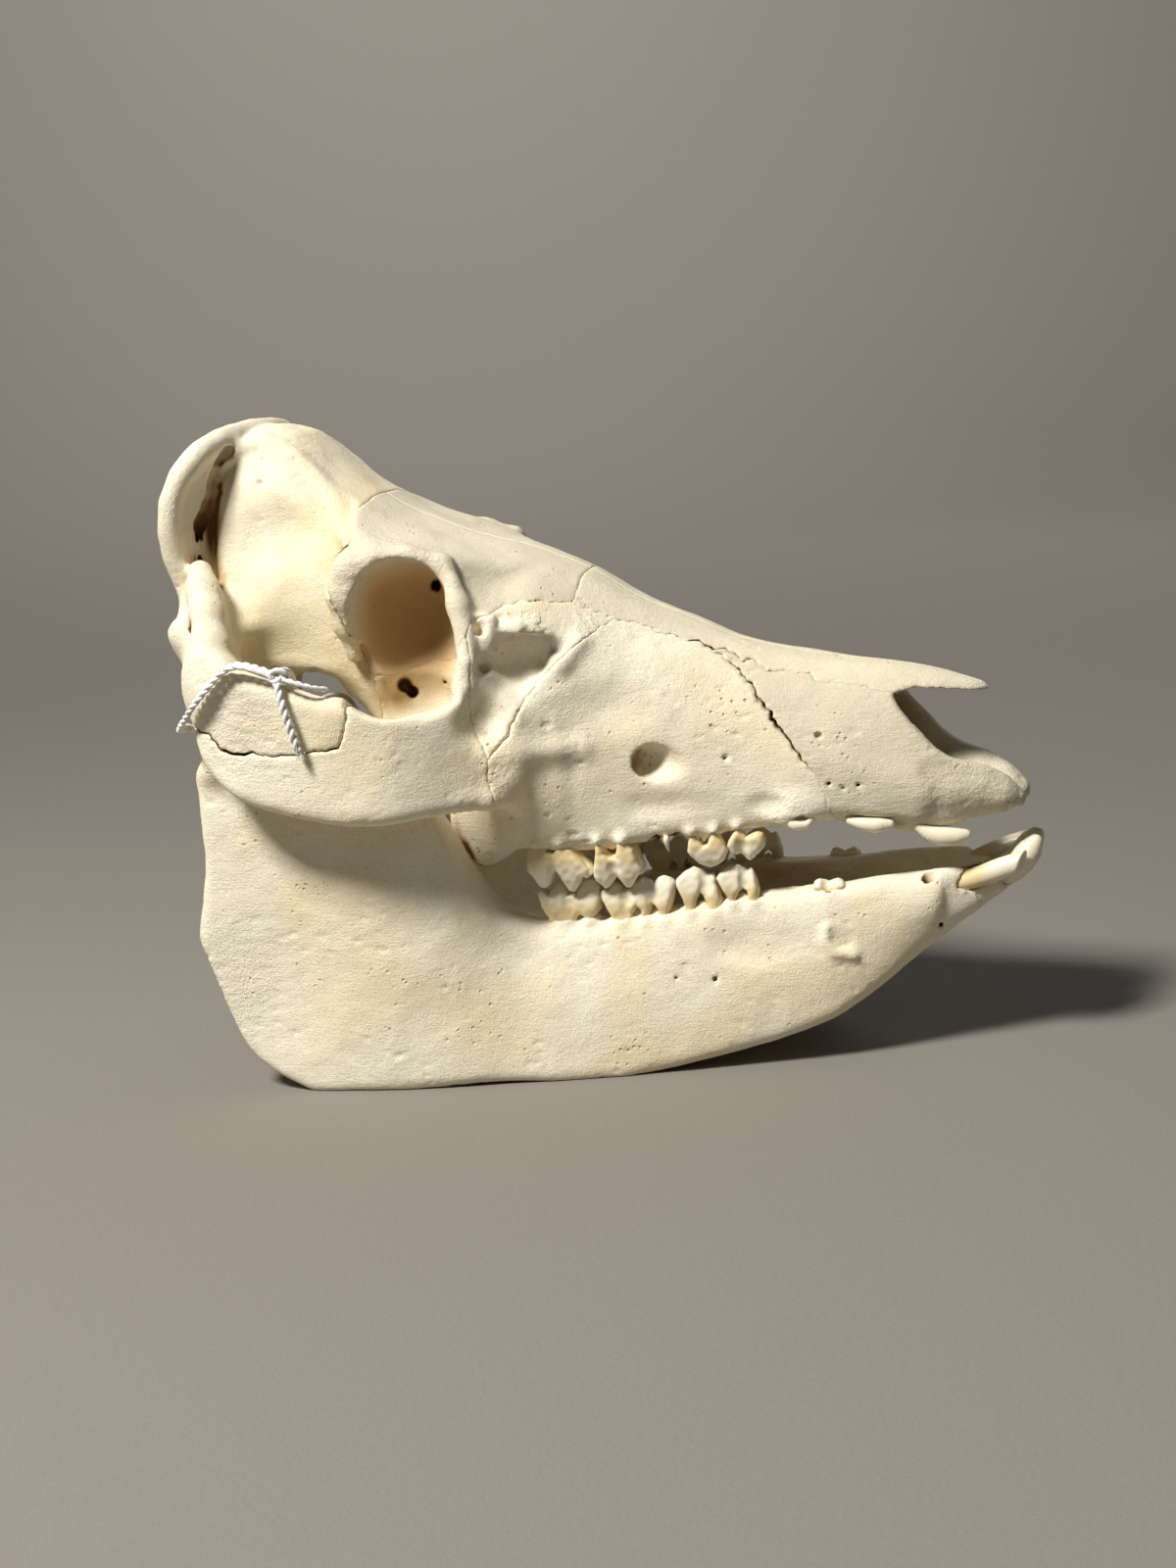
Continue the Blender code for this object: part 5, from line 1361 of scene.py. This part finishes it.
def bone_material(slot):
    """Material of one kind of bone, from the shared dry bone group."""
    name = "bone_" + slot
    if name in bpy.data.materials:
        return bpy.data.materials[name]
    tones = bpy.context.scene.skull_colours
    mat, sheet, shader = new_material(name)
    group = sheet.node("ShaderNodeGroup", node_tree=bone_group())
    warmth, fibre, pores, grey_shade = BONE_FINISH[slot]
    for label, value in (("Pale", tones.pale), ("Warm", tones.warm), ("Shade", tones.shade),
                         ("Deep", tones.deep), ("Warmth", warmth), ("Fibre", fibre),
                         ("Pores", pores), ("Open air", sheet.value("open_air")),
                         ("Rough", sheet.value("coarse")), ("Grey shade", grey_shade)):
        sheet.set(group.inputs[label], value)
    sheet.set(shader.inputs["Base Color"], group.outputs["Color"])
    sheet.set(shader.inputs["Roughness"], group.outputs["Roughness"])
    sheet.bump(shader, group.outputs["Height"], 0.9, 0.0008)
    shader.inputs["Specular IOR Level"].default_value = 0.35
    return mat


def tooth_material():
    """White enamel that turns to ivory at the neck and the roots."""
    if "tooth" in bpy.data.materials:
        return bpy.data.materials["tooth"]
    tones = bpy.context.scene.skull_colours
    mat, t, shader = new_material("tooth")
    where = t.where()
    crown = t.value("crown")
    cloud = t.noise(where, 260.0, 3.0, 0.55, 0.5)
    streak = t.noise(t.stretch(where, (1200.0, 1200.0, 220.0)), 1.0, 3.0, 0.6)
    share = t.maths("ADD", crown, t.maths("MULTIPLY", t.maths("SUBTRACT", cloud, 0.5), 0.5))
    colour = t.mix(t.range(share, 0.30, 0.75), tones.root, tones.enamel)
    colour = t.mix(t.range(streak, 0.62, 0.80, 0.0, 0.35), colour, tones.root)
    t.set(shader.inputs["Base Color"], colour)
    t.set(shader.inputs["Roughness"], t.range(share, 0.2, 0.8, 0.55, 0.28))
    t.bump(shader, streak, 0.25, 0.0003)
    shader.inputs["Subsurface Weight"].default_value = 0.12
    shader.inputs["Subsurface Radius"].default_value = (0.0016, 0.0012, 0.0009)
    shader.inputs["Subsurface Scale"].default_value = 1.0
    return mat


def cotton_material():
    """Loose white cotton with a soft sheen."""
    mat, t, shader = new_material("cotton")
    where = t.where()
    fluff = t.noise(where, 2400.0, 4.0, 0.65)
    soil = t.noise(where, 160.0, 3.0, 0.5)
    tones = bpy.context.scene.skull_colours
    colour = t.mix(t.range(soil, 0.45, 0.75, 0.0, 0.4), tones.cotton, lin(*SOILED_COTTON))
    # painted shade between the fibres
    colour = t.mix(t.range(fluff, 0.3, 0.6, 0.25, 0.0), colour, lin(*COTTON_SHADE))
    t.set(shader.inputs["Base Color"], colour)
    t.set(shader.inputs["Roughness"], t.range(fluff, 0.3, 0.7, 0.8, 0.95))
    t.bump(shader, fluff, 0.5, 0.0002)
    shader.inputs["Sheen Weight"].default_value = 0.4
    return mat


def plain_material(name, colour, roughness, scale, depth):
    """Plain matt surface with a slight tooth."""
    mat, t, shader = new_material(name)
    nap = t.noise(t.where(), scale, 3.0, 0.6)
    t.set(shader.inputs["Base Color"], t.mix(t.range(nap, 0.3, 0.7, 0.0, 0.12), colour,
                                             tuple(0.8 * c for c in colour[:3])))
    shader.inputs["Roughness"].default_value = roughness
    t.bump(shader, nap, 0.3, depth)
    return mat


def slab(p, outline, mid, half, lean, neck, tall):
    """Crown and roots with the given outline seen from the cheek side, swelling in the middle."""
    x, s, z = p
    up = (z - neck) / tall
    thick = half * curve(((-0.5, 0.62), (0, 0.80), (0.32, 1.0), (0.7, 0.80), (1, 0.42)), up)
    side = np.abs(s - mid + lean * np.clip(up, 0, 1)) - thick
    d = polygon(x.astype(float), z.astype(float), outline)
    return smax(d, side, 1.5).astype(np.float32)


def cheek_tooth(row, step):
    """Skin of one cheek tooth: cusps in one or two rows over its roots."""
    name, x0, x1, s0, s1, width, neck, tip, outline, grooves, roots = row
    way = 1.0 if tip > neck else -1.0
    length, tall = x1 - x0, tip - neck
    out = 0.5 * (s0 + s1)
    lo = (x0 - 1, -(out + 2), min(neck - 0.6 * tall, tip) - 1)
    hi = (x1 + 1, -(out - width - 2), max(neck - 0.6 * tall, tip) + 1)
    shape = Shape(lo, hi, step)
    p = (shape.x, shape.s + (shape.x - 0.5 * (x0 + x1)) * (s0 - s1) / length, shape.z)
    line = [(x0 + share * length, neck + 0.1 * tall * max(high, -ROOT_DEPTH))
            for share, high in outline]
    if width < TWO_ROWS_FROM:
        shape.add(slab(p, line, out - 0.5 * width, 0.5 * width, 0.3, neck, tall), 0.3)
    else:
        inner = [(x, z - 0.08 * way * np.clip((z - neck) * way, 0, 20)) for x, z in line]
        half = 0.31 * width
        shape.add(slab(p, line, out - half, half, 0.9, neck, tall), 0.3)
        shape.add(slab(p, inner, out - width + half, half, -0.6, neck, tall), 1.2)
    for share in grooves:
        x = x0 + share * length
        face = s0 + (s1 - s0) * share
        shape.carve_rods(((x, face + 0.6, neck + 0.1 * tall, 0.9),
                          (x, face + 0.2, neck + 0.5 * tall, 1.3),
                          (x, face - 0.8, neck + 0.9 * tall, 1.5)), 1.2)
    points, normals, faces = skin(shape.f, shape.low, shape.step)
    points = points + normals * 0.045 * ripple(points, 2.6, 11)[:, None]
    crown = np.clip((points[:, 2] - neck) / tall * 1.3, 0, 1)
    return (points, normals, faces), crown


def peg_tooth(row, step):
    """Skin of one tooth with a single root."""
    name, chain = row
    lo = [min(p[n] for p in chain) - 4 for n in range(3)]
    hi = [max(p[n] for p in chain) + 4 for n in range(3)]
    shape = Shape((lo[0], -hi[1], lo[2]), (hi[0], -lo[1], hi[2]), step)
    shape.add_chain([tuple(p) for p in refine(chain, 4)], 0.2)
    low_jaw = chain[0][0] > 140 and chain[0][2] < 50
    if low_jaw and name == "incisor_2":  # its tip is worn flat
        shape.carve(173.4 + 0.25 * (shape.z - 48) - 0.35 * (shape.s - 11) - shape.x, 0.5)
    points, normals, faces = skin(shape.f, shape.low, shape.step)
    a, b = np.array(chain[0][:3]), np.array(chain[-1][:3])
    q = half_plane_points(points) * np.array((1, -1, 1))
    share = ((q - a) @ (b - a)) / ((b - a) @ (b - a))
    crown = np.clip(2.2 * share - (0.9 if low_jaw else -0.6), 0, 1)
    return (points, normals, faces), crown


def tooth_row(name, cheek, pegs, left):
    """All teeth of one side of one jaw as one object."""
    step = TOOTH_STEP
    made = [cheek_tooth(row, step) for row in cheek] + [peg_tooth(row, step) for row in pegs]
    parts = [mirrored_part(part) if left else part for part, crown in made]
    obj = mesh_piece(name, parts)[0]
    point_value(obj, "crown", np.concatenate([crown for part, crown in made]))
    place(obj, tooth_material())


def refine(points, per):
    """More points along a path, spaced by the smooth line through it."""
    p = np.array(points, dtype=float)
    at = np.arange(len(p))
    t = np.linspace(0, len(p) - 1, (len(p) - 1) * per + 1)
    return np.stack([curve(np.stack([at, p[:, n]], axis=1), t) for n in range(p.shape[1])],
                    axis=1).astype(float)


def lay_on(path, reach):
    """Push the points of a path out of the bones until they clear them."""
    p = np.array(path, dtype=float)
    for _ in range(60):
        d = near_bone(p)
        grad = np.stack([near_bone(p + e) - near_bone(p - e) for e in np.eye(3) * 0.8], axis=1)
        grad /= np.maximum(np.linalg.norm(grad, axis=1), 1e-6)[:, None]
        p = p + grad * np.clip(reach - d, 0, 1.5)[:, None] * 0.5
        p[1:-1] = 0.85 * p[1:-1] + 0.075 * (p[2:] + p[:-2])
    return p


def length_along(path):
    """Length of a path up to each of its points."""
    return np.concatenate([[0], np.cumsum(np.linalg.norm(np.diff(path, axis=0), axis=1))])


def even_steps(path, gap):
    """The same path with points at an even spacing."""
    length = length_along(path)
    at = np.linspace(0, length[-1], max(int(length[-1] / gap), 2) + 1)
    return np.stack([np.interp(at, length, path[:, n]) for n in range(3)], axis=1)


def frames_along(path):
    """Two directions across a path at each point that turn as little as possible."""
    way = np.gradient(path, axis=0)
    way /= np.linalg.norm(way, axis=1)[:, None]
    side = np.cross(way[0], (0.3, 1.0, 0.2))
    sides = []
    for w in way:
        side = side - w * (side @ w)
        side = side / np.linalg.norm(side)
        sides.append(side)
    sides = np.array(sides)
    return sides, np.cross(way, sides)


def tube(path, radius, ring=6):
    """Closed tube along a path."""
    a, b = frames_along(path)
    turns = [tau * n / ring for n in range(ring)]
    points = np.stack([path + radius * (a * cos(t) + b * sin(t)) for t in turns],
                      axis=1).reshape(-1, 3)
    last = len(path) - 1
    faces = []
    for i in range(last):
        for n in range(ring):
            m = (n + 1) % ring
            faces.append((i * ring + n, i * ring + m, (i + 1) * ring + m, (i + 1) * ring + n))
    for n in range(1, ring - 1, 2):
        faces.append((0, (n + 2) % ring, n + 1, n))
        base = last * ring
        faces.append((base, base + n, base + n + 1, base + (n + 2) % ring))
    return points, points * 0, np.array(faces)


def twisted(path, offset, yarn, pitch, phase=0.0):
    """Two yarns wound around a path as in a twisted string."""
    a, b = frames_along(path)
    length = length_along(path)
    out = []
    for n in range(2):
        t = (length / pitch * tau + tau * n / 2 + phase)[:, None]
        out.append(tube(path + offset * (a * np.cos(t) + b * np.sin(t)), yarn))
    return out


def string_parts():
    """Both turns of the tie with its knot, its end and its frayed tail."""
    loop, tail, end = [even_steps(lay_on(refine(p, 6), STRING_REACH), 0.5)
                       for p in (STRING_LOOP, STRING_TAIL, STRING_END)]
    parts = []
    a, b = frames_along(loop)
    for side in (-1, 1):
        turn = np.linspace(0.25, 0.25 + 0.3 * side, len(loop))[:, None] * tau
        wave = TURNS_APART * side * (a * np.cos(turn) + b * np.sin(turn))
        parts += twisted(loop + wave, *LOOP_YARN, phase=side)
    parts += twisted(tail, *TAIL_YARN)
    parts += twisted(end, *END_YARN)
    rng = np.random.default_rng(8)
    tip = tail[-1]
    down = (tip - tail[-6]) / np.linalg.norm(tip - tail[-6])
    for _ in range(FRAYED_HAIRS):
        spread = rng.normal(0, 0.35, 3)
        start = tip - down * 1.5 + rng.normal(0, 0.35, 3)
        stop = tip + down * rng.uniform(1.0, 2.6) + spread * 1.6
        mid = (start + stop) / 2 + rng.normal(0, 0.2, 3)
        parts.append(tube(refine([start, mid, stop], 5), 0.09, 4))
    knot = loop[0]
    for n in range(3):
        t = np.linspace(0, tau, 34)
        ring = np.stack([1.5 * np.cos(t) + 0.3 * n, 1.2 * np.sin(t + 0.8 * n),
                         1.3 * np.sin(t) * (1 if n != 1 else -1)], axis=1)
        parts.append(tube(ring[:-1] + knot, 0.55))
    return parts


class SkullSizes(bpy.types.PropertyGroup):
    """Sizes that the panel offers"""
    grid_step: FloatProperty(
        name="Surface step", description="Spacing of the points of the bone surface, in mm",
        default=0.65, min=0.4, max=2.0)
    seam_gap: FloatProperty(
        name="Seam gap", description="Width of the closed seams between the bones",
        default=0.00008, min=0.0, max=0.002, unit="LENGTH")


def colour_property(label, words, value):
    """Colour that can be set in the panel."""
    return FloatVectorProperty(name=label, description=words, default=value, subtype="COLOR",
                               size=3, min=0.0, max=1.0)


class SkullColours(bpy.types.PropertyGroup):
    """Colours that the panel offers"""
    pale: colour_property("Pale bone", "Chalky white bone", lin(247, 242, 222))
    warm: colour_property("Warm bone", "Cream patches in the bone", lin(243, 225, 178))
    # the hollow and deep hollow tones are painted shade of the hollows; the hollow tone also tints
    # the pores and the grain
    shade: colour_property("Hollow", "Tan tone of hollows and pores", lin(196, 148, 72))
    deep: colour_property("Deep hollow", "Brown tone of the deepest hollows", lin(96, 50, 12))
    enamel: colour_property("Enamel", "Crowns of the teeth", lin(240, 232, 208))
    root: colour_property("Root", "Necks and roots of the teeth", lin(228, 208, 160))
    cotton: colour_property("Cotton", "Tie string", lin(236, 236, 236))
    floor: colour_property("Floor", "Plain pale floor", lin(128, 124, 117))


class SKULL_OT_braincase(bpy.types.Operator):
    """Build the braincase with its crest and the roots of the cheek arches"""
    bl_idname = "skull.braincase"
    bl_label = "Braincase"

    def execute(self, context):
        part = drop_crumbs(bone_part(forms()["skull"], "braincase", False))
        set_bone("braincase_bone", [part], "braincase", "braincase")
        return {"FINISHED"}


class SKULL_OT_face(bpy.types.Operator):
    """Build the paired bones of the forehead, snout and cheeks"""
    bl_idname = "skull.face"
    bl_label = "Face bones"

    def execute(self, context):
        for kind in ("frontal", "nasal", "maxilla", "incisive", "zygomatic"):
            shares = (kind, "lacrimal") if kind == "maxilla" else (kind,)
            parts = [drop_crumbs(bone_part(forms()["skull"], share, True)) for share in shares]
            set_bone(kind + "_bone_right", parts, kind + "_right", kind)
            set_bone(kind + "_bone_left", [mirrored_part(p) for p in parts], kind + "_left", kind)
        return {"FINISHED"}


class SKULL_OT_jaw(bpy.types.Operator):
    """Build both halves of the lower jaw"""
    bl_idname = "skull.jaw"
    bl_label = "Lower jaw"

    def execute(self, context):
        shape = forms()["jaw"]
        gap = context.scene.skull_sizes.seam_gap * 1000 * 0.5
        values = np.maximum(shape.f, gap - shape.s)
        part = drop_crumbs(skin(values, shape.low, shape.step))
        set_bone("mandible_bone_right", [part], "mandible_right", "mandible")
        set_bone("mandible_bone_left", [mirrored_part(part)], "mandible_left", "mandible")
        return {"FINISHED"}


class SKULL_OT_teeth(bpy.types.Operator):
    """Build the four rows of teeth"""
    bl_idname = "skull.teeth"
    bl_label = "Teeth"

    def execute(self, context):
        for side in ("right", "left"):
            tooth_row("upper_teeth_" + side, UPPER_TEETH, UPPER_PEGS, side == "left")
            tooth_row("lower_teeth_" + side, LOWER_TEETH, LOWER_PEGS, side == "left")
        return {"FINISHED"}


class SKULL_OT_tie(bpy.types.Operator):
    """Tie the cotton string around the right cheek arch"""
    bl_idname = "skull.tie"
    bl_label = "Tie string"

    def execute(self, context):
        obj = mesh_piece("cotton_tie", string_parts())[0]
        place(obj, cotton_material(), "tie_string")
        return {"FINISHED"}


# lamps: name, place and aim in metres, size, power, colour
LAMPS = (
    ("key_light", (-0.42, -0.60, 1.06), (0.0, 0.0, 0.07), 0.26, 24.0, (1.0, 0.965, 0.905)),
    ("fill_light", (0.55, -0.95, 0.95), (0.0, 0.0, 0.08), 0.8, 0.35, (0.86, 0.93, 1.0)),
    ("back_light", (0.45, 1.05, 0.75), (0.0, 0.0, 0.08), 0.9, 2.6, (0.94, 0.97, 1.0)),
    ("wall_light", (-0.45, 1.25, 1.3), (-0.62, 2.1, 0.62), 0.6, 16.0, (1.0, 0.98, 0.95)),
)
SKY_COLOUR = (0.88, 0.94, 1.0, 1)
SKY_STRENGTH = 0.02


def add_light(name, place_at, aim, size, power, colour):
    """Soft square lamp at a place, turned to a point."""
    data = bpy.data.lights.new(name, "AREA")
    data.size = size
    data.energy = power
    data.color = colour
    lamp = bpy.data.objects.new(name, data)
    bpy.context.scene.collection.objects.link(lamp)
    lamp.location = place_at
    lamp.rotation_euler = (Vector(aim) - Vector(place_at)).to_track_quat("-Z", "Y").to_euler()


# floor in metres: radius of the flat part, radius of the curve at its edge, height of the wall
FLOOR_RADIUS = 1.4
FLOOR_CURVE = 0.7
WALL_TOP = 2.6


def round_stage(colour):
    """Round floor whose edge rises in a wide curve."""
    profile = [(0.0, 0.0), (0.6, 0.0), (FLOOR_RADIUS, 0.0)]
    for n in range(1, 13):
        t = radians(90 * n / 12)
        profile.append((FLOOR_RADIUS + FLOOR_CURVE * sin(t), FLOOR_CURVE * (1 - cos(t))))
    profile.append((FLOOR_RADIUS + FLOOR_CURVE, WALL_TOP))
    steps = 96
    verts = [(0, 0, 0)]
    for r, z in profile[1:]:
        verts += [(r * cos(tau * n / steps), r * sin(tau * n / steps), z) for n in range(steps)]
    faces = [(0, 1 + n, 1 + (n + 1) % steps) for n in range(steps)]
    for ring in range(len(profile) - 2):
        a, b = 1 + ring * steps, 1 + (ring + 1) * steps
        faces += [(a + n, b + n, b + (n + 1) % steps, a + (n + 1) % steps) for n in range(steps)]
    mesh = bpy.data.meshes.new("studio_floor")
    mesh.from_pydata(verts, [], faces)
    mesh.polygons.foreach_set("use_smooth", [True] * len(mesh.polygons))
    floor = bpy.data.objects.new("studio_floor", mesh)
    bpy.context.scene.collection.objects.link(floor)
    mesh.materials.append(plain_material("pale_floor", colour, 0.9, 700.0, 0.0006))


# the camera's place in millimetres and its three directions, from the photo's perspective
CAMERA_AT = (205.9, -547.9, 190.2)
CAMERA_RIGHT = (0.9672, 0.2423, -0.0767)
CAMERA_UP = (0.0221, 0.2205, 0.9751)
CAMERA_AHEAD = (-0.2532, 0.9448, -0.2079)
PHOTO_FOCAL_PIXELS = 2200.0
PHOTO_HEIGHT = 1600.0
SENSOR = 36.0


def photo_camera():
    """Camera at the photo's viewing angle."""
    data = bpy.data.cameras.new("photo_camera")
    cam = bpy.data.objects.new("photo_camera", data)
    bpy.context.scene.collection.objects.link(cam)
    at = [(a - b) * MM for a, b in zip(CAMERA_AT, MIDDLE)]
    cam.matrix_world = Matrix([
        (CAMERA_RIGHT[n], CAMERA_UP[n], -CAMERA_AHEAD[n], at[n]) for n in range(3)
    ] + [(0, 0, 0, 1)])
    data.sensor_fit = "VERTICAL"
    data.sensor_height = data.sensor_width = SENSOR
    data.lens = SENSOR * PHOTO_FOCAL_PIXELS / PHOTO_HEIGHT
    data.clip_start = 0.02
    data.clip_end = 20.0
    bpy.context.scene.camera = cam


class SKULL_OT_stage(bpy.types.Operator):
    """Build the plain floor, the studio light and the camera"""
    bl_idname = "skull.stage"
    bl_label = "Stage"

    def execute(self, context):
        round_stage(tuple(context.scene.skull_colours.floor))
        for lamp in LAMPS:
            add_light(*lamp)
        world = bpy.data.worlds.new("studio_air")
        world.use_nodes = True
        sky = world.node_tree.nodes["Background"].inputs
        sky["Color"].default_value = SKY_COLOUR
        sky["Strength"].default_value = SKY_STRENGTH
        context.scene.world = world
        context.scene.view_settings.view_transform = "Standard"
        photo_camera()
        return {"FINISHED"}


class SKULL_PT_panel(bpy.types.Panel):
    """Sidebar list of the steps that build the specimen"""
    bl_idname = "SKULL_PT_panel"
    bl_label = "Skull"
    bl_space_type = "VIEW_3D"
    bl_region_type = "UI"
    bl_category = "Skull"

    def draw(self, context):
        for group in (context.scene.skull_sizes, context.scene.skull_colours):
            for key in group.bl_rna.properties.keys():
                if key not in ("rna_type", "name"):
                    self.layout.prop(group, key)
        for step in STEPS:
            self.layout.operator(step.bl_idname)


STEPS = (SKULL_OT_braincase, SKULL_OT_face, SKULL_OT_jaw, SKULL_OT_teeth, SKULL_OT_tie,
         SKULL_OT_stage)
CLASSES = (SkullSizes, SkullColours, *STEPS, SKULL_PT_panel)


def register():
    for cls in CLASSES:
        bpy.utils.register_class(cls)
    bpy.types.Scene.skull_sizes = PointerProperty(type=SkullSizes)
    bpy.types.Scene.skull_colours = PointerProperty(type=SkullColours)


def unregister():
    del bpy.types.Scene.skull_colours
    del bpy.types.Scene.skull_sizes
    for cls in reversed(CLASSES):
        bpy.utils.unregister_class(cls)


def main():
    """Build the whole specimen."""
    register()
    bpy.ops.skull.braincase()
    bpy.ops.skull.face()
    bpy.ops.skull.jaw()
    bpy.ops.skull.teeth()
    bpy.ops.skull.tie()
    bpy.ops.skull.stage()
    bpy.context.view_layer.update()


if __name__ == "__main__":
    main()
